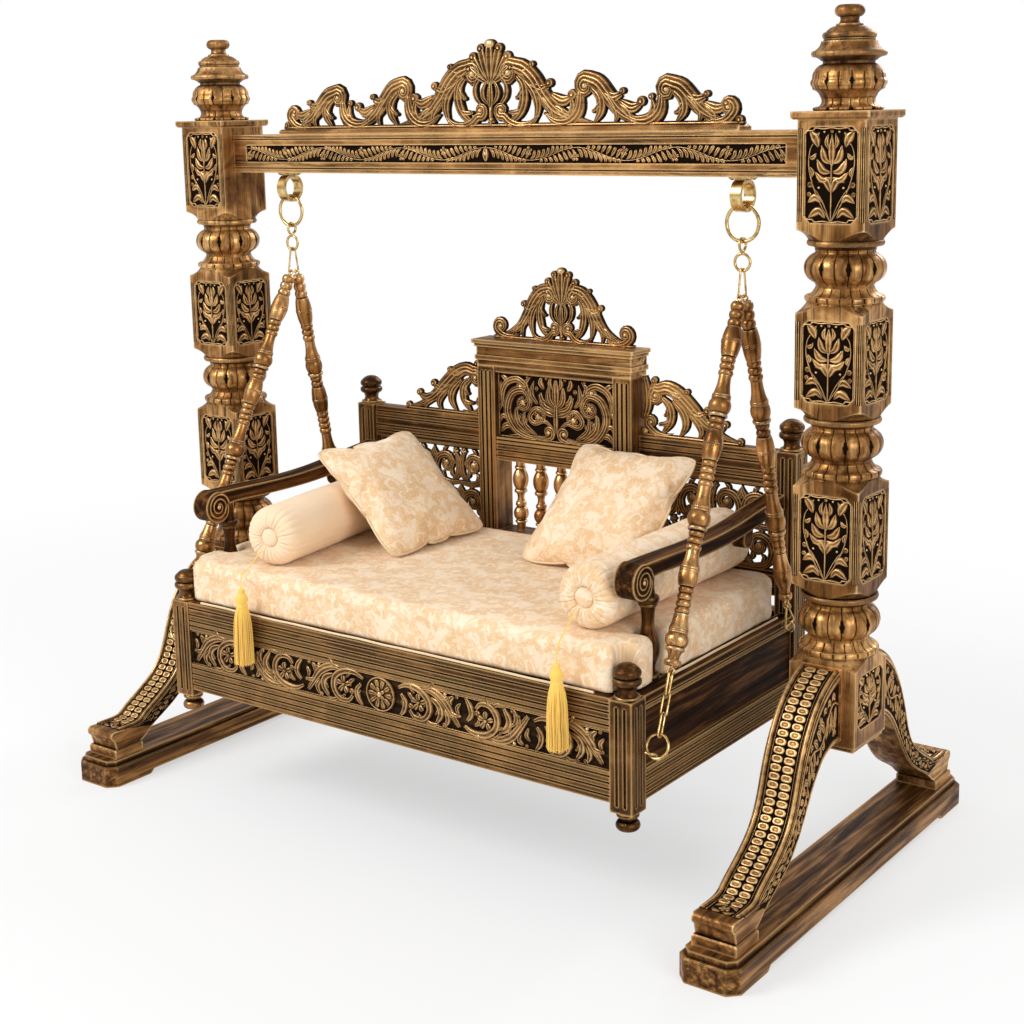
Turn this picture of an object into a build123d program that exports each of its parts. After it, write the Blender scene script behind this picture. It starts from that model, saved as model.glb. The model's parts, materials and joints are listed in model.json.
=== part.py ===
from build123d import *
from math import radians, sqrt, tan
import os

# Carved jhoola swing: a two-post stand whose beam carries a day-bed seat on four
# turned rods.  Millimetres, +Z up, X along the beam, the seat's front faces -Y.
# The origin is on the floor, midway between the posts and under the beam.

os.makedirs("parts", exist_ok=True)

# ---------------------------------------------------------------- driving sizes
fit_gap = 0.3            # running clearance between pieces that move or stay loose
pin_gap = 0.1            # radial clearance of a dowel, screw or tenon in its hole

# stand
post_pitch = 2000.0      # between the two post centres
post_half = 83.0         # half side of a square post block
base_half = 85.0         # half side of the lowest post block
post_top = 1836.0
base_bottom = 372.0
block_levels = ((1590.0, 1836.0), (1182.0, 1402.0), (762.0, 998.0), (406.0, 571.0))
shoulder = 24.0          # height of the lathe shoulder at a block's end
panel_recess = 5.0       # depth of the carved panels' ground
panel_margin = 17.0      # plain border round a block's panel

cap_half = 95.5
cap_thick = 18.0
finial_dowel = 14.0
finial_dowel_length = 60.0

beam_half = post_pitch / 2 - post_half
beam_bottom = 1705.0
beam_height = 107.0
beam_thick = 76.0
tenon_length = 40.0
tenon_height = 70.0
tenon_thick = 40.0
frieze_height = 46.0
frieze_end = 52.0        # plain beam face at each end of the frieze
frieze_depth = 6.0

crest_base_half = 740.0
crest_base_height = 14.0
crest_base_thick = 60.0
crest_thick = 30.0
crest_drawn_half = 740.0     # half length and foot at which the crest's outline is drawn
crest_drawn_foot = 1826.0

skid_half = 631.0
skid_width = 154.0
skid_corner = 25.0
skid_tier = 59.0
skid_top = 73.0
skid_step = 12.0
relief_half = 485.0
relief_height = 12.0

brace_width = 102.0
brace_toe_bottom = 95.0
toe_pad_front = 592.0
toe_pad_back = 492.0
toe_pad_width = 112.0
skid_bolt_y = 540.0
skid_bolt = 5.0          # shank radius
skid_bolt_head = 9.0
skid_bolt_grip = 110.0

# hangers
hanger_x = 735.0
plate_long = 60.0
plate_wide = 40.0
plate_thick = 5.0
plate_screw = 3.0
plate_screw_long = 34.0
plate_screw_x = 22.0
plate_screw_y = 13.0
band_outer = 39.5
band_bore = 30.0
band_width = 28.0
ring_radius = 43.0
ring_wire = 4.5
hook_wire = 3.5
hook_upper = 15.5
hook_lower = 20.5
hook_neck = 6.0
yoke_wire = 2.5
yoke_top_half = 8.0
yoke_bar_half = 20.0
yoke_drop = 69.0
rod_spread = 13.0        # of each rod's eye along the yoke's bar, from its middle

rod_eye = 7.0
rod_eye_wire = 2.2
rod_start = 12.0         # from the yoke's bar to the rod's upper end
rod_foot_eye = 8.0
rod_foot_wire = 3.0
eye_shank = 16.0

front_loop = 16.0        # screw eye in the front corner post
front_wire = 3.0
front_eye_y = -480.0
front_eye_z = 437.0
front_eye_reach = 38.0   # from the corner post's face to the loop's outer arc
drop_ring = 28.0
drop_ring_wire = 3.5
drop_ring_slack = 1.4
link_wire = 3.0
link_half = 8.0
link_pitch = 54.0        # between the centres of a link's two end wires
link_count = 3

rear_loop = 13.0         # screw eye in the side rail
rear_wire = 2.5
rear_eye_y = 208.0
rear_eye_z = 552.0
rear_eye_reach = 20.5    # from the side rail's face to the loop's centre
delta_wire = 2.8
delta_half = 25.0
delta_height = 48.0
delta_slack = 0.8
small_ring = 9.0
small_ring_wire = 2.5

# seat
seat_half = 748.0
seat_front = -521.0
seat_back = 331.0
corner_side = 60.0
rail_top = 562.0
front_corner_bottom = 292.0
rear_corner_top = 992.0
rail_thick = 40.0
rail_setback = 4.0       # of the rails' faces behind the corner posts' faces
front_top_rail = 78.0
side_top_rail = 34.0
low_rail_bottom = 312.0
low_rail_top = 387.0
front_panel_setback = 10.0
front_panel_thick = 20.0
side_panel_setback = 12.0
side_panel_thick = 14.0
slat_thick = 18.0
slat_count = 9
slat_gap = 12.0
cleat = 20.0
knob_dowel = 8.0
foot_height = 46.0

# back
back_face = 286.0        # front face of the side rails of the back
back_thick = 40.0
centre_face = 248.0      # front face of the centre section
stile_outer = 262.0
stile_width = 60.0
stile_top = 1149.0
cornice_top = 1225.0
panel_bottom = 943.0
panel_top = 1132.0
mid_rail_bottom = 876.0
low_centre_rail = (620.0, 667.0)
side_rail = (895.0, 988.0)
side_low_rail = (600.0, 655.0)
back_panel_thick = 18.0
fret_thick = 18.0
spindle_count = 5
spindle_pitch = 72.0

# arms
arm_setback = 34.0       # of the arms' outer faces behind the seat's sides
arm_width = 54.0
arm_outer = seat_half - arm_setback
arm_inner = arm_outer - arm_width
arm_support_y = -352.0

# soft goods
mattress_half = seat_half - 23.0
mattress_front = -512.0
mattress_back = 245.0
mattress_top = 680.0
mattress_corner = 55.0
bolster_radius = 82.0
bolster_length = 690.0
cushion_side = 392.0
cushion_half_thick = 62.0
cushion_edge = 9.0
tassel_length = 210.0
tassel_cord = 1.6        # radius


# ---------------------------------------------------------------- shared helpers
def block(x, y, z):
    """A box between two corners, each axis given as (low, high)."""
    size = Box(x[1] - x[0], y[1] - y[0], z[1] - z[0])
    return Pos((x[0] + x[1]) / 2, (y[0] + y[1]) / 2, (z[0] + z[1]) / 2) * size


def mirror_x(shape):
    return mirror(shape, about=Plane.YZ)


def mirror_y(shape):
    return mirror(shape, about=Plane.XZ)


def both_sides(shape):
    return [shape, mirror_x(shape)]


def four_corners(shape):
    return [item for half in both_sides(shape) for item in (half, mirror_y(half))]


def save(name, *solids):
    """Write one node: its solids stay separate pieces."""
    pieces = []
    for solid in solids:
        pieces += list(solid.solids())
    shape = pieces[0] if len(pieces) == 1 else Compound(children=pieces)
    export_step(shape, f"parts/{name}.step")


def lathe(steps, start=0.0):
    """A solid turned about Z from steps (height, radius, belly radius or None, radius)."""
    edges = []
    z = start
    last = 0.0
    for height, low, belly, high in steps:
        if abs(low - last) > 1e-6:
            edges.append(Line((last, 0, z), (low, 0, z)))
        if belly is None:
            edges.append(Line((low, 0, z), (high, 0, z + height)))
        else:
            edges.append(ThreePointArc((low, 0, z), (belly, 0, z + height / 2), (high, 0, z + height)))
        z += height
        last = high
    if last > 1e-6:
        edges.append(Line((last, 0, z), (0, 0, z)))
    edges.append(Line((0, 0, z), (0, 0, start)))
    return revolve(Face(Wire(edges)), Axis.Z)


def cylinder_between(start, end, radius):
    run = Vector(*end) - Vector(*start)
    return Plane(start, z_dir=run).location * Cylinder(
        radius, run.length, align=(Align.CENTER, Align.CENTER, Align.MIN))


def ring_at(centre, normal, radius, wire):
    return Plane(centre, z_dir=normal).location * Torus(radius, wire)


def wire_loop(plane, corners, corner_radius, wire):
    """A closed loop of round wire through corners given in the plane's own axes."""
    path = FilletPolyline(*[plane.from_local_coords(Vector(*p, 0)) for p in corners],
                          radius=corner_radius, close=True)
    start = Plane(path @ 0, z_dir=path % 0)
    return sweep(start * Circle(wire), path=path)


def chain_link(plane, length, half, wire):
    """A long link: two half rings and two straight sides, its long axis on the plane's Y."""
    path = Wire([
        Line(plane.from_local_coords(Vector(half, -length / 2 + half, 0)),
             plane.from_local_coords(Vector(half, length / 2 - half, 0))),
        ThreePointArc(plane.from_local_coords(Vector(half, length / 2 - half, 0)),
                      plane.from_local_coords(Vector(0, length / 2, 0)),
                      plane.from_local_coords(Vector(-half, length / 2 - half, 0))),
        Line(plane.from_local_coords(Vector(-half, length / 2 - half, 0)),
             plane.from_local_coords(Vector(-half, -length / 2 + half, 0))),
        ThreePointArc(plane.from_local_coords(Vector(-half, -length / 2 + half, 0)),
                      plane.from_local_coords(Vector(0, -length / 2, 0)),
                      plane.from_local_coords(Vector(half, -length / 2 + half, 0))),
    ])
    start = Plane(path @ 0, z_dir=path % 0)
    return sweep(start * Circle(wire), path=path)


def arc_outline(start, arcs):
    """Edges of a chain of arcs given as (via, end), or a line where via is None."""
    edges = []
    here = start
    for via, end in arcs:
        edges.append(Line(here, end) if via is None else ThreePointArc(here, via, end))
        here = end
    return edges, here


def fitted(points, share=1.0, rise=0.0, shift=0.0):
    """Points (x, z, ...) with X stretched by share and moved by shift, and Z raised."""
    return [(x * share + shift, z + rise, *rest) for x, z, *rest in points]


def fitted_arcs(arcs, **move):
    return [tuple(fitted(pair, **move)) for pair in arcs]


def symmetric_plate(start, arcs, y_face, thick, base_z):
    """A carved board: half outline in X and Z from the middle outwards, doubled about X=0."""
    edges, last = arc_outline(start, arcs)
    edges.append(Line(last, (last[0], base_z)))
    edges.append(Line((last[0], base_z), (0, base_z)))
    edges.append(Line((0, base_z), start))
    half = Plane.XZ * make_face(edges)
    slab = Pos(0, y_face + thick, 0) * extrude(half, thick)
    return slab + mirror_x(slab)


def pierce(plate, holes, y_mid, depth):
    """Cut oval holes given as (x, z, half width, half height, lean in degrees), on both sides."""
    for x, z, wide, tall, lean in holes:
        oval = Plane.XZ * Pos(x, z) * Rot(0, 0, lean) * Ellipse(wide, tall)
        tool = Pos(0, y_mid, 0) * extrude(oval, depth, both=True)
        plate = plate - tool - mirror_x(tool)
    return plate


# ---------------------------------------------------------------- posts
def turned_neck(bottom, height, narrow, swell, top_ring):
    """Bead-and-cove turning between two blocks, listed from the bottom up."""
    unit = height / 143.0
    steps = [
        (14 * unit, top_ring, top_ring + 2, top_ring),
        (13 * unit, top_ring - 4, narrow + 5, narrow + 1),
        (17 * unit, narrow + 1, narrow - 2, narrow),
        (68 * unit, narrow + 1, swell, narrow + 1),
        (18 * unit, narrow - 1, narrow, narrow + 8),
        (13 * unit, top_ring - 3, top_ring, top_ring - 3),
    ]
    return lathe(steps, bottom)


def shouldered_block(half, low, high, cut_low, cut_high):
    """A square block whose ends are turned down to round where asked."""
    corner = half * sqrt(2) + 2
    face_radius = half + 1
    steps = []
    if cut_low:
        steps.append((shoulder, face_radius, face_radius + 9, corner))
    middle = (high - low) - shoulder * (cut_low + cut_high)
    steps.append((middle, corner, None, corner))
    if cut_high:
        steps.append((shoulder, corner, face_radius + 9, face_radius))
    square = block((-half, half), (-half, half), (low, high))
    return square & lathe(steps, low)


def panel_cutter(half, low, high):
    """The recess of one block's carved panel, on its -Y face, with clipped corners."""
    wide = half - panel_margin
    clip = 16.0
    low = low + panel_margin
    high = high - panel_margin
    outline = Polyline(
        (-wide, low + clip), (-wide + clip, low), (wide - clip, low), (wide, low + clip),
        (wide, high - clip), (wide - clip, high), (-wide + clip, high), (-wide, high - clip),
        close=True)
    sketch = Plane.XZ * make_face(outline)
    return Pos(0, -half + panel_recess, 0) * extrude(sketch, panel_recess + 1)


def build_post():
    top, upper, lower, base = block_levels
    post = shouldered_block(post_half, top[0] - shoulder, top[1], True, False)
    post += shouldered_block(post_half, upper[0] - shoulder, upper[1] + shoulder, True, True)
    post += shouldered_block(post_half, lower[0] - shoulder, lower[1] + shoulder, True, True)
    post += shouldered_block(base_half, base_bottom, base[1] + shoulder, False, True)
    spans = ((upper[1] + shoulder, top[0] - shoulder, 68.0, 91.5, 88.0),
             (lower[1] + shoulder, upper[0] - shoulder, 71.0, 93.0, 90.0),
             (base[1] + shoulder, lower[0] - shoulder, 73.0, 95.0, 92.0))
    for low, high, narrow, swell, ring in spans:
        post += turned_neck(low, high - low, narrow, swell, ring)
    post -= block((-base_half, base_half), (-base_half, base_half),
                  (base_bottom, base_bottom + 10)) - block(
        (-base_half + 5, base_half - 5), (-base_half + 5, base_half - 5),
        (base_bottom, base_bottom + 10))
    for half, (low, high) in ((post_half, top), (post_half, upper), (post_half, lower),
                              (base_half, base)):
        for turn in (0, 90, 180, 270):
            if half == base_half and turn in (0, 180):
                continue
            if (low, high) == top and turn == 270:
                continue
            post -= Rot(0, 0, turn) * panel_cutter(half, low, high)
    mortise = block((-post_half - 1, -post_half + tenon_length + fit_gap),
                    (-tenon_thick / 2 - pin_gap, tenon_thick / 2 + pin_gap),
                    (tenon_bottom - pin_gap, tenon_bottom + tenon_height + pin_gap))
    dowel_hole = Pos(0, 0, post_top) * Cylinder(
        finial_dowel + pin_gap, 2 * (finial_dowel_length - cap_thick + fit_gap))
    return Pos(post_pitch / 2, 0, 0) * (post - mortise - dowel_hole)


tenon_bottom = beam_bottom + (beam_height - tenon_height) / 2
post_right = build_post()
save("post_right", post_right)
save("post_left", mirror_x(post_right))

cap = block((-cap_half, cap_half), (-cap_half, cap_half), (post_top, post_top + cap_thick))
cap = chamfer(cap.edges().filter_by(Axis.Z, reverse=True).group_by(Axis.Z)[0], 5)
cap -= Pos(0, 0, post_top) * Cylinder(finial_dowel + pin_gap, 3 * cap_thick)
save("cap_plates", *both_sides(Pos(post_pitch / 2, 0, 0) * cap))

cap_top = post_top + cap_thick
finial_steps = [
    (finial_dowel_length, finial_dowel, None, finial_dowel),
    (8, 74, 77, 74), (22, 67, 58, 62), (16, 62, 66, 76), (6, 74, 79, 78),
    (18, 79, 83, 79), (32, 79, 77, 60), (7, 58, None, 58), (9, 61, 66, 79),
    (13, 80, 84, 80), (21, 78, 66, 62), (5, 57, None, 57), (14, 56, 60, 56),
    (13, 53, 47, 35), (5, 31, None, 30), (15, 26, 21, 22), (19, 22, 33, 8),
]
finial = lathe(finial_steps, cap_top - finial_dowel_length)
save("finials", *both_sides(Pos(post_pitch / 2, 0, 0) * finial))

# ---------------------------------------------------------------- beam and crest
beam_top = beam_bottom + beam_height


def plate_screw_places():
    places = []
    for x in (-plate_screw_x, plate_screw_x):
        for y in (-plate_screw_y, plate_screw_y):
            places.append((hanger_x + x, y))
    return places


def build_beam():
    half_thick = beam_thick / 2
    beam = block((-beam_half, beam_half), (-half_thick, half_thick), (beam_bottom, beam_top))
    beam += block((-beam_half - tenon_length, beam_half + tenon_length),
                  (-tenon_thick / 2, tenon_thick / 2), (tenon_bottom, tenon_bottom + tenon_height))
    middle = beam_bottom + beam_height / 2
    frieze_half = beam_half - frieze_end
    frieze = block((-frieze_half, frieze_half), (-half_thick - 1, -half_thick + frieze_depth),
                   (middle - frieze_height / 2, middle + frieze_height / 2))
    groove = block((-beam_half - 1, beam_half + 1), (-half_thick - 1, -half_thick + 3),
                   (beam_top - 15, beam_top - 11))
    low_groove = Pos(0, 0, 26 - beam_height) * groove
    for tool in (frieze, groove, low_groove):
        beam = beam - tool - mirror_y(tool)
    for x, y in plate_screw_places():
        hole = Pos(x, y, beam_bottom) * Cylinder(plate_screw + pin_gap, 2 * plate_screw_long)
        beam = beam - hole - mirror_x(hole)
    return beam


save("beam", build_beam())

crest_bottom = beam_top + crest_base_height
crest_base = block((-crest_base_half, crest_base_half),
                   (-crest_base_thick / 2, crest_base_thick / 2), (beam_top, crest_bottom))
crest_base = chamfer(crest_base.edges().group_by(Axis.Z)[-1], 5)
save("crest_base", crest_base)

crest_arcs = [
    ((30, 2041), (46, 2016)), ((76, 2024), (82, 1990)), ((112, 1986), (130, 1962)),
    ((160, 1952), (166, 1922)), ((200, 1914), (224, 1884)), ((268, 1902), (298, 1945)),
    ((334, 1960), (362, 1925)), ((400, 1914), (438, 1893)), ((488, 1906), (530, 1934)),
    ((576, 1946), (600, 1904)), ((630, 1888), (664, 1893)), ((702, 1898), (717, 1864)),
    ((736, 1858), (738, 1838)),
]
crest_holes = [
    (38, 1955, 13, 36, -8), (46, 1874, 16, 26, 12), (104, 1905, 14, 30, -28), (118, 1852, 20, 12, 0),
    (170, 1872, 16, 22, -40), (238, 1852, 24, 10, 0), (284, 1878, 15, 30, -22), (336, 1898, 14, 24, 24),
    (372, 1860, 26, 12, 10), (440, 1856, 26, 12, 0), (508, 1872, 16, 24, -40), (560, 1894, 14, 24, -8),
    (604, 1858, 22, 13, 0), (664, 1858, 18, 13, 0),
]
crest_fit = {"share": crest_base_half / crest_drawn_half, "rise": crest_bottom - crest_drawn_foot}
crest_tip = fitted([(0, 2047)], **crest_fit)[0]
crest = symmetric_plate(crest_tip, fitted_arcs(crest_arcs, **crest_fit), -crest_thick / 2,
                        crest_thick, crest_bottom)
crest = pierce(crest, fitted(crest_holes, **crest_fit), 0, crest_thick)
save("crest_carving", crest)

# ---------------------------------------------------------------- skids and braces
skid_x = post_pitch / 2


def build_skid():
    half = skid_width / 2
    lower = block((-half, half), (-skid_half, skid_half), (0, skid_tier))
    lower = chamfer(lower.edges().filter_by(Axis.Z), skid_corner)
    lower = chamfer(lower.edges().group_by(Axis.Z)[-1], 4)
    upper = block((-half + skid_step, half - skid_step),
                  (-skid_half + skid_step, skid_half - skid_step), (skid_tier - 1, skid_top))
    upper = chamfer(upper.edges().filter_by(Axis.Z), skid_corner - 7)
    outline = Polyline((-relief_half, 0), (-relief_half + relief_height, relief_height),
                       (relief_half - relief_height, relief_height), (relief_half, 0), close=True)
    relief = extrude(Plane.YZ * make_face(outline), half + 1, both=True)
    skid = lower + upper - relief
    for y in (-skid_bolt_y, skid_bolt_y):
        skid -= Pos(0, y, 0) * Cylinder(skid_bolt + pin_gap, 3 * skid_top)
        skid -= Pos(0, y, 0) * Cylinder(skid_bolt_head + 1, 2 * relief_height)
    return Pos(skid_x, 0, 0) * skid


skid_right = build_skid()
save("skid_right", skid_right)
save("skid_left", mirror_x(skid_right))


def build_brace():
    """The curved brace from a skid's end up to the post's base block, for the +Y side."""
    edges = [
        Line((base_half, 400), (base_half, 575)),
        Spline((base_half, 575), (185, 527), (280, 385), (343, 254), (472, 166), (588, 152),
               tangents=((1, -0.25), (1, 0.05))),
        ThreePointArc((588, 152), (600, 140), (590, 126)),
        Line((590, 126), (toe_pad_front - 10, brace_toe_bottom)),
        Line((toe_pad_front - 10, brace_toe_bottom), (toe_pad_back + 10, brace_toe_bottom)),
        Spline((toe_pad_back + 10, brace_toe_bottom), (456, 124), (349, 188), (254, 296),
               (171, 386), (base_half, 400), tangents=((-1, 0.3), (-1, -0.15))),
    ]
    half = brace_width / 2
    side = Plane.YZ * make_face(edges)
    brace = extrude(side, half, both=True)
    pad_half = toe_pad_width / 2
    pad = block((-pad_half, pad_half), (toe_pad_back, toe_pad_front), (skid_top, brace_toe_bottom + 3))
    pad = chamfer(pad.edges().group_by(Axis.Z)[-1], 3)
    hole = Pos(0, skid_bolt_y, 0) * Cylinder(
        skid_bolt + pin_gap, skid_bolt_grip + relief_height + fit_gap,
        align=(Align.CENTER, Align.CENTER, Align.MIN))
    return Pos(skid_x, 0, 0) * (brace + pad - hole)


brace = build_brace()
save("brace_rear_right", brace)
save("brace_rear_left", mirror_x(brace))
save("brace_front_right", mirror_y(brace))
save("brace_front_left", mirror_x(mirror_y(brace)))

# ---------------------------------------------------------------- hangers
band_centre = beam_bottom - plate_thick - band_outer + 0.5
bore_bottom = band_centre - band_bore
ring_inner = ring_radius - ring_wire
ring_centre = bore_bottom + fit_gap - sqrt(ring_inner ** 2 - (band_width / 2) ** 2)
hook_top = ring_centre - ring_radius + ring_wire + hook_wire + fit_gap
hook_upper_centre = hook_top - hook_upper
hook_lower_centre = hook_upper_centre - hook_upper - hook_neck - hook_lower
yoke_top = hook_lower_centre - hook_lower + hook_wire + yoke_wire + fit_gap
yoke_bar = yoke_top - yoke_drop


def build_bracket():
    plate = block((-plate_long / 2, plate_long / 2), (-plate_wide / 2, plate_wide / 2),
                  (beam_bottom - plate_thick, beam_bottom))
    plate = fillet(plate.edges().filter_by(Axis.Z), 6)
    along_x = Rot(0, 90, 0)
    neck = block((-band_width / 2, band_width / 2), (-16, 16),
                 (band_centre + band_bore + 1, beam_bottom - plate_thick + 1))
    band = Pos(0, 0, band_centre) * along_x * (Cylinder(band_outer, band_width))
    bracket = plate + neck + band
    bracket -= Pos(0, 0, band_centre) * along_x * Cylinder(band_bore, band_width + 2)
    for x, y in plate_screw_places():
        bracket -= Pos(x - hanger_x, y, beam_bottom) * Cylinder(plate_screw + pin_gap, 4 * plate_thick)
    return Pos(hanger_x, 0, 0) * bracket


save("brackets", *both_sides(build_bracket()))

plate_bottom = beam_bottom - plate_thick
plate_screws = []
for x, y in plate_screw_places():
    screw = lathe([(3, 2.5, 4.6, 5.2), (plate_screw_long, plate_screw, None, plate_screw)],
                  plate_bottom - 3)
    plate_screws += both_sides(Pos(x, y, 0) * screw)
skid_bolts = []
bolt = lathe([(6, skid_bolt_head, None, skid_bolt_head), (skid_bolt_grip, skid_bolt, None, skid_bolt)],
             relief_height - 6)
skid_bolts += four_corners(Pos(skid_x, skid_bolt_y, 0) * bolt)
save("frame_fasteners", *plate_screws, *skid_bolts)

big_ring = ring_at((hanger_x, 0, ring_centre), (0, 1, 0), ring_radius, ring_wire)
save("big_ring_right", big_ring)
save("big_ring_left", mirror_x(big_ring))


def build_hooks():
    eight = ring_at((hanger_x, 0, hook_upper_centre), (1, 0, 0), hook_upper, hook_wire)
    eight += ring_at((hanger_x, 0, hook_lower_centre), (0, 1, 0), hook_lower, hook_wire)
    neck_top = hook_upper_centre - hook_upper + 1
    neck_bottom = hook_lower_centre + hook_lower - 1
    eight += cylinder_between((hanger_x, 0, neck_bottom), (hanger_x, 0, neck_top), hook_wire + 0.6)
    side = Plane((hanger_x, 0, 0), x_dir=(0, 1, 0), z_dir=(1, 0, 0))
    yoke = wire_loop(side, [(-yoke_top_half, yoke_top), (yoke_top_half, yoke_top),
                            (yoke_bar_half, yoke_bar), (-yoke_bar_half, yoke_bar)], 5, yoke_wire)
    return [eight, yoke]


hooks = build_hooks()
save("hooks_right", *hooks)
save("hooks_left", *[mirror_x(item) for item in hooks])

# ---------------------------------------------------------------- rods and chains
front_loop_x = seat_half + front_eye_reach
rear_loop_x = seat_half - rail_setback + rear_eye_reach
delta_bar = rear_eye_z + rear_loop - rear_wire - delta_wire - delta_slack
front_head = Vector(hanger_x, -rod_spread, yoke_bar)
rear_head = Vector(hanger_x, rod_spread, yoke_bar)
front_anchor = Vector(front_loop_x, front_eye_y, front_eye_z)
rear_anchor = Vector(rear_loop_x, rear_eye_y, delta_bar)


def link_levels():
    """Heights along the front line, from its anchor: ring centre, link centres, rod eye."""
    ring_bottom = -(front_wire + drop_ring_wire + drop_ring_slack)
    ring_middle = ring_bottom + drop_ring
    level = ring_middle + drop_ring - drop_ring_wire - link_wire - fit_gap
    centres = []
    for _ in range(link_count):
        centres.append(level + link_pitch / 2)
        level += link_pitch - 2 * link_wire - fit_gap
    eye = level + link_wire - rod_foot_wire + rod_foot_eye
    return ring_middle, centres, eye


def turning(length, steps):
    """A rod of the given length from steps (share, radius, belly, radius), upper end first."""
    total = sum(step[0] for step in steps)
    scaled = [(share * length / total, low, belly, high) for share, low, belly, high in steps]
    flipped = [(height, high, belly, low) for height, low, belly, high in reversed(scaled)]
    return lathe(flipped)


def beads(count, share, radius):
    return [(share, radius - 4, radius, radius - 4)] * count


def double_ring(share, radius):
    return [(share / 2, radius - 1, radius, radius - 1)] * 2


def barrel(share, end, belly):
    return [(share, end, (end + belly) / 2 + 1, belly)] + double_ring(share * 0.25, belly + 1) + [
        (share, belly, (end + belly) / 2 + 1, end)]


def swell(share, narrow, belly):
    return double_ring(share * 0.3, narrow + 4) + [(share, narrow + 2, belly, narrow),
                                                   (share * 0.25, narrow + 2, narrow + 4, narrow + 2)]


taper = [(20, 15, 16, 21)]
front_rod_steps = (beads(3, 9, 18) + barrel(14, 18, 24) + beads(3, 7, 18) + taper + swell(15, 19, 27)
                   + beads(2, 7, 19) + barrel(14, 18, 24) + beads(4, 7, 18) + taper + swell(16, 19, 27.5)
                   + beads(3, 7, 18) + [(16, 15, 17, 22)] + double_ring(5, 24)
                   + [(15, 23, 24, 19)] + beads(4, 7, 18) + [(15, 18, 19, 24)]
                   + swell(14, 19, 27.5) + [(9, 19, 14, 13), (6, 18, 20.5, 18)])
rear_rod_steps = (beads(3, 9, 18) + barrel(14, 18, 23) + beads(3, 7, 18) + taper + swell(15, 19, 25)
                  + beads(2, 7, 18) + barrel(14, 18, 23) + beads(4, 7, 18) + taper + swell(16, 19, 25)
                  + beads(3, 7, 17) + [(16, 15, 17, 21)] + double_ring(5, 23)
                  + [(15, 22, 22, 17)] + [(9, 17, 13, 12), (6, 15, 17, 15)])


def build_line(head, anchor, foot, steps):
    """One rod with its two screw eyes, on the line from the yoke's bar to the seat's anchor."""
    up = (head - anchor).normalized()
    across = Vector(1, 0, 0) - up * up.X
    side = up.cross(across).normalized()
    foot_point = anchor + up * (foot + rod_foot_eye + rod_foot_wire + fit_gap)
    head_point = head - up * rod_start
    length = (head_point - foot_point).length
    hole_deep = eye_shank + fit_gap
    rod = Plane(foot_point, x_dir=across, z_dir=up).location * turning(length, steps)
    rod -= cylinder_between(foot_point - up, foot_point + up * hole_deep, rod_foot_wire + pin_gap)
    rod -= cylinder_between(head_point + up, head_point - up * hole_deep, rod_eye_wire + pin_gap)
    bar_reach = (rod_eye_wire + yoke_wire + fit_gap) / up.Z
    top_centre = head - up * (rod_eye - bar_reach)
    top_eye = ring_at(top_centre, side, rod_eye, rod_eye_wire)
    top_eye += cylinder_between(top_centre - up * rod_eye, head_point - up * eye_shank, rod_eye_wire)
    foot_centre = anchor + up * foot
    foot_eye = ring_at(foot_centre, side, rod_foot_eye, rod_foot_wire)
    foot_eye += cylinder_between(foot_centre + up * rod_foot_eye, foot_point + up * eye_shank,
                                 rod_foot_wire)
    return rod, [top_eye, foot_eye], up, across.normalized(), side


drop_centre, link_centres, front_foot = link_levels()
front_rod, front_eyes, front_up, front_across, front_side = build_line(
    front_head, front_anchor, front_foot, front_rod_steps)
delta_apex = delta_height
small_centre = delta_apex - delta_wire - small_ring_wire - fit_gap + small_ring
rear_foot = small_centre + small_ring - small_ring_wire - rod_foot_wire - fit_gap + rod_foot_eye
rear_rod, rear_eyes, rear_up, rear_across, rear_side = build_line(
    rear_head, rear_anchor, rear_foot, rear_rod_steps)


def rear_foot_eye():
    """The rear rod's lower eye stands across the small ring, so it is turned a quarter."""
    centre = rear_anchor + rear_up * rear_foot
    foot_point = rear_anchor + rear_up * (rear_foot + rod_foot_eye + rod_foot_wire + fit_gap)
    eye = ring_at(centre, rear_across, rod_foot_eye, rod_foot_wire)
    return eye + cylinder_between(centre + rear_up * rod_foot_eye, foot_point + rear_up * eye_shank,
                                  rod_foot_wire)


rear_eyes[1] = rear_foot_eye()
save("rod_front_right", front_rod)
save("rod_front_left", mirror_x(front_rod))
save("rod_rear_right", rear_rod)
save("rod_rear_left", mirror_x(rear_rod))
rod_eyes = front_eyes + rear_eyes
save("rod_eyes_right", *rod_eyes)
save("rod_eyes_left", *[mirror_x(item) for item in rod_eyes])


def build_chains():
    """Drop ring and three links of the front line; triangle and small ring of the rear one."""
    pieces = [ring_at(front_anchor + front_up * drop_centre, front_side, drop_ring, drop_ring_wire)]
    for index, level in enumerate(link_centres):
        flat = front_across if index % 2 == 0 else front_side
        plane = Plane(front_anchor + front_up * level, x_dir=front_up.cross(flat), z_dir=flat)
        pieces.append(chain_link(plane, link_pitch, link_half, link_wire))
    along_y = rear_up.cross(rear_across)
    plane = Plane(rear_anchor, x_dir=along_y, z_dir=along_y.cross(rear_up))
    pieces.append(wire_loop(plane, [(-delta_half, 0), (delta_half, 0), (4, delta_height),
                                    (-4, delta_height)], 3.6, delta_wire))
    pieces.append(ring_at(rear_anchor + rear_up * small_centre, rear_side, small_ring,
                          small_ring_wire))
    return pieces


chains = build_chains()
save("chains_right", *chains)
save("chains_left", *[mirror_x(item) for item in chains])


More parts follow.
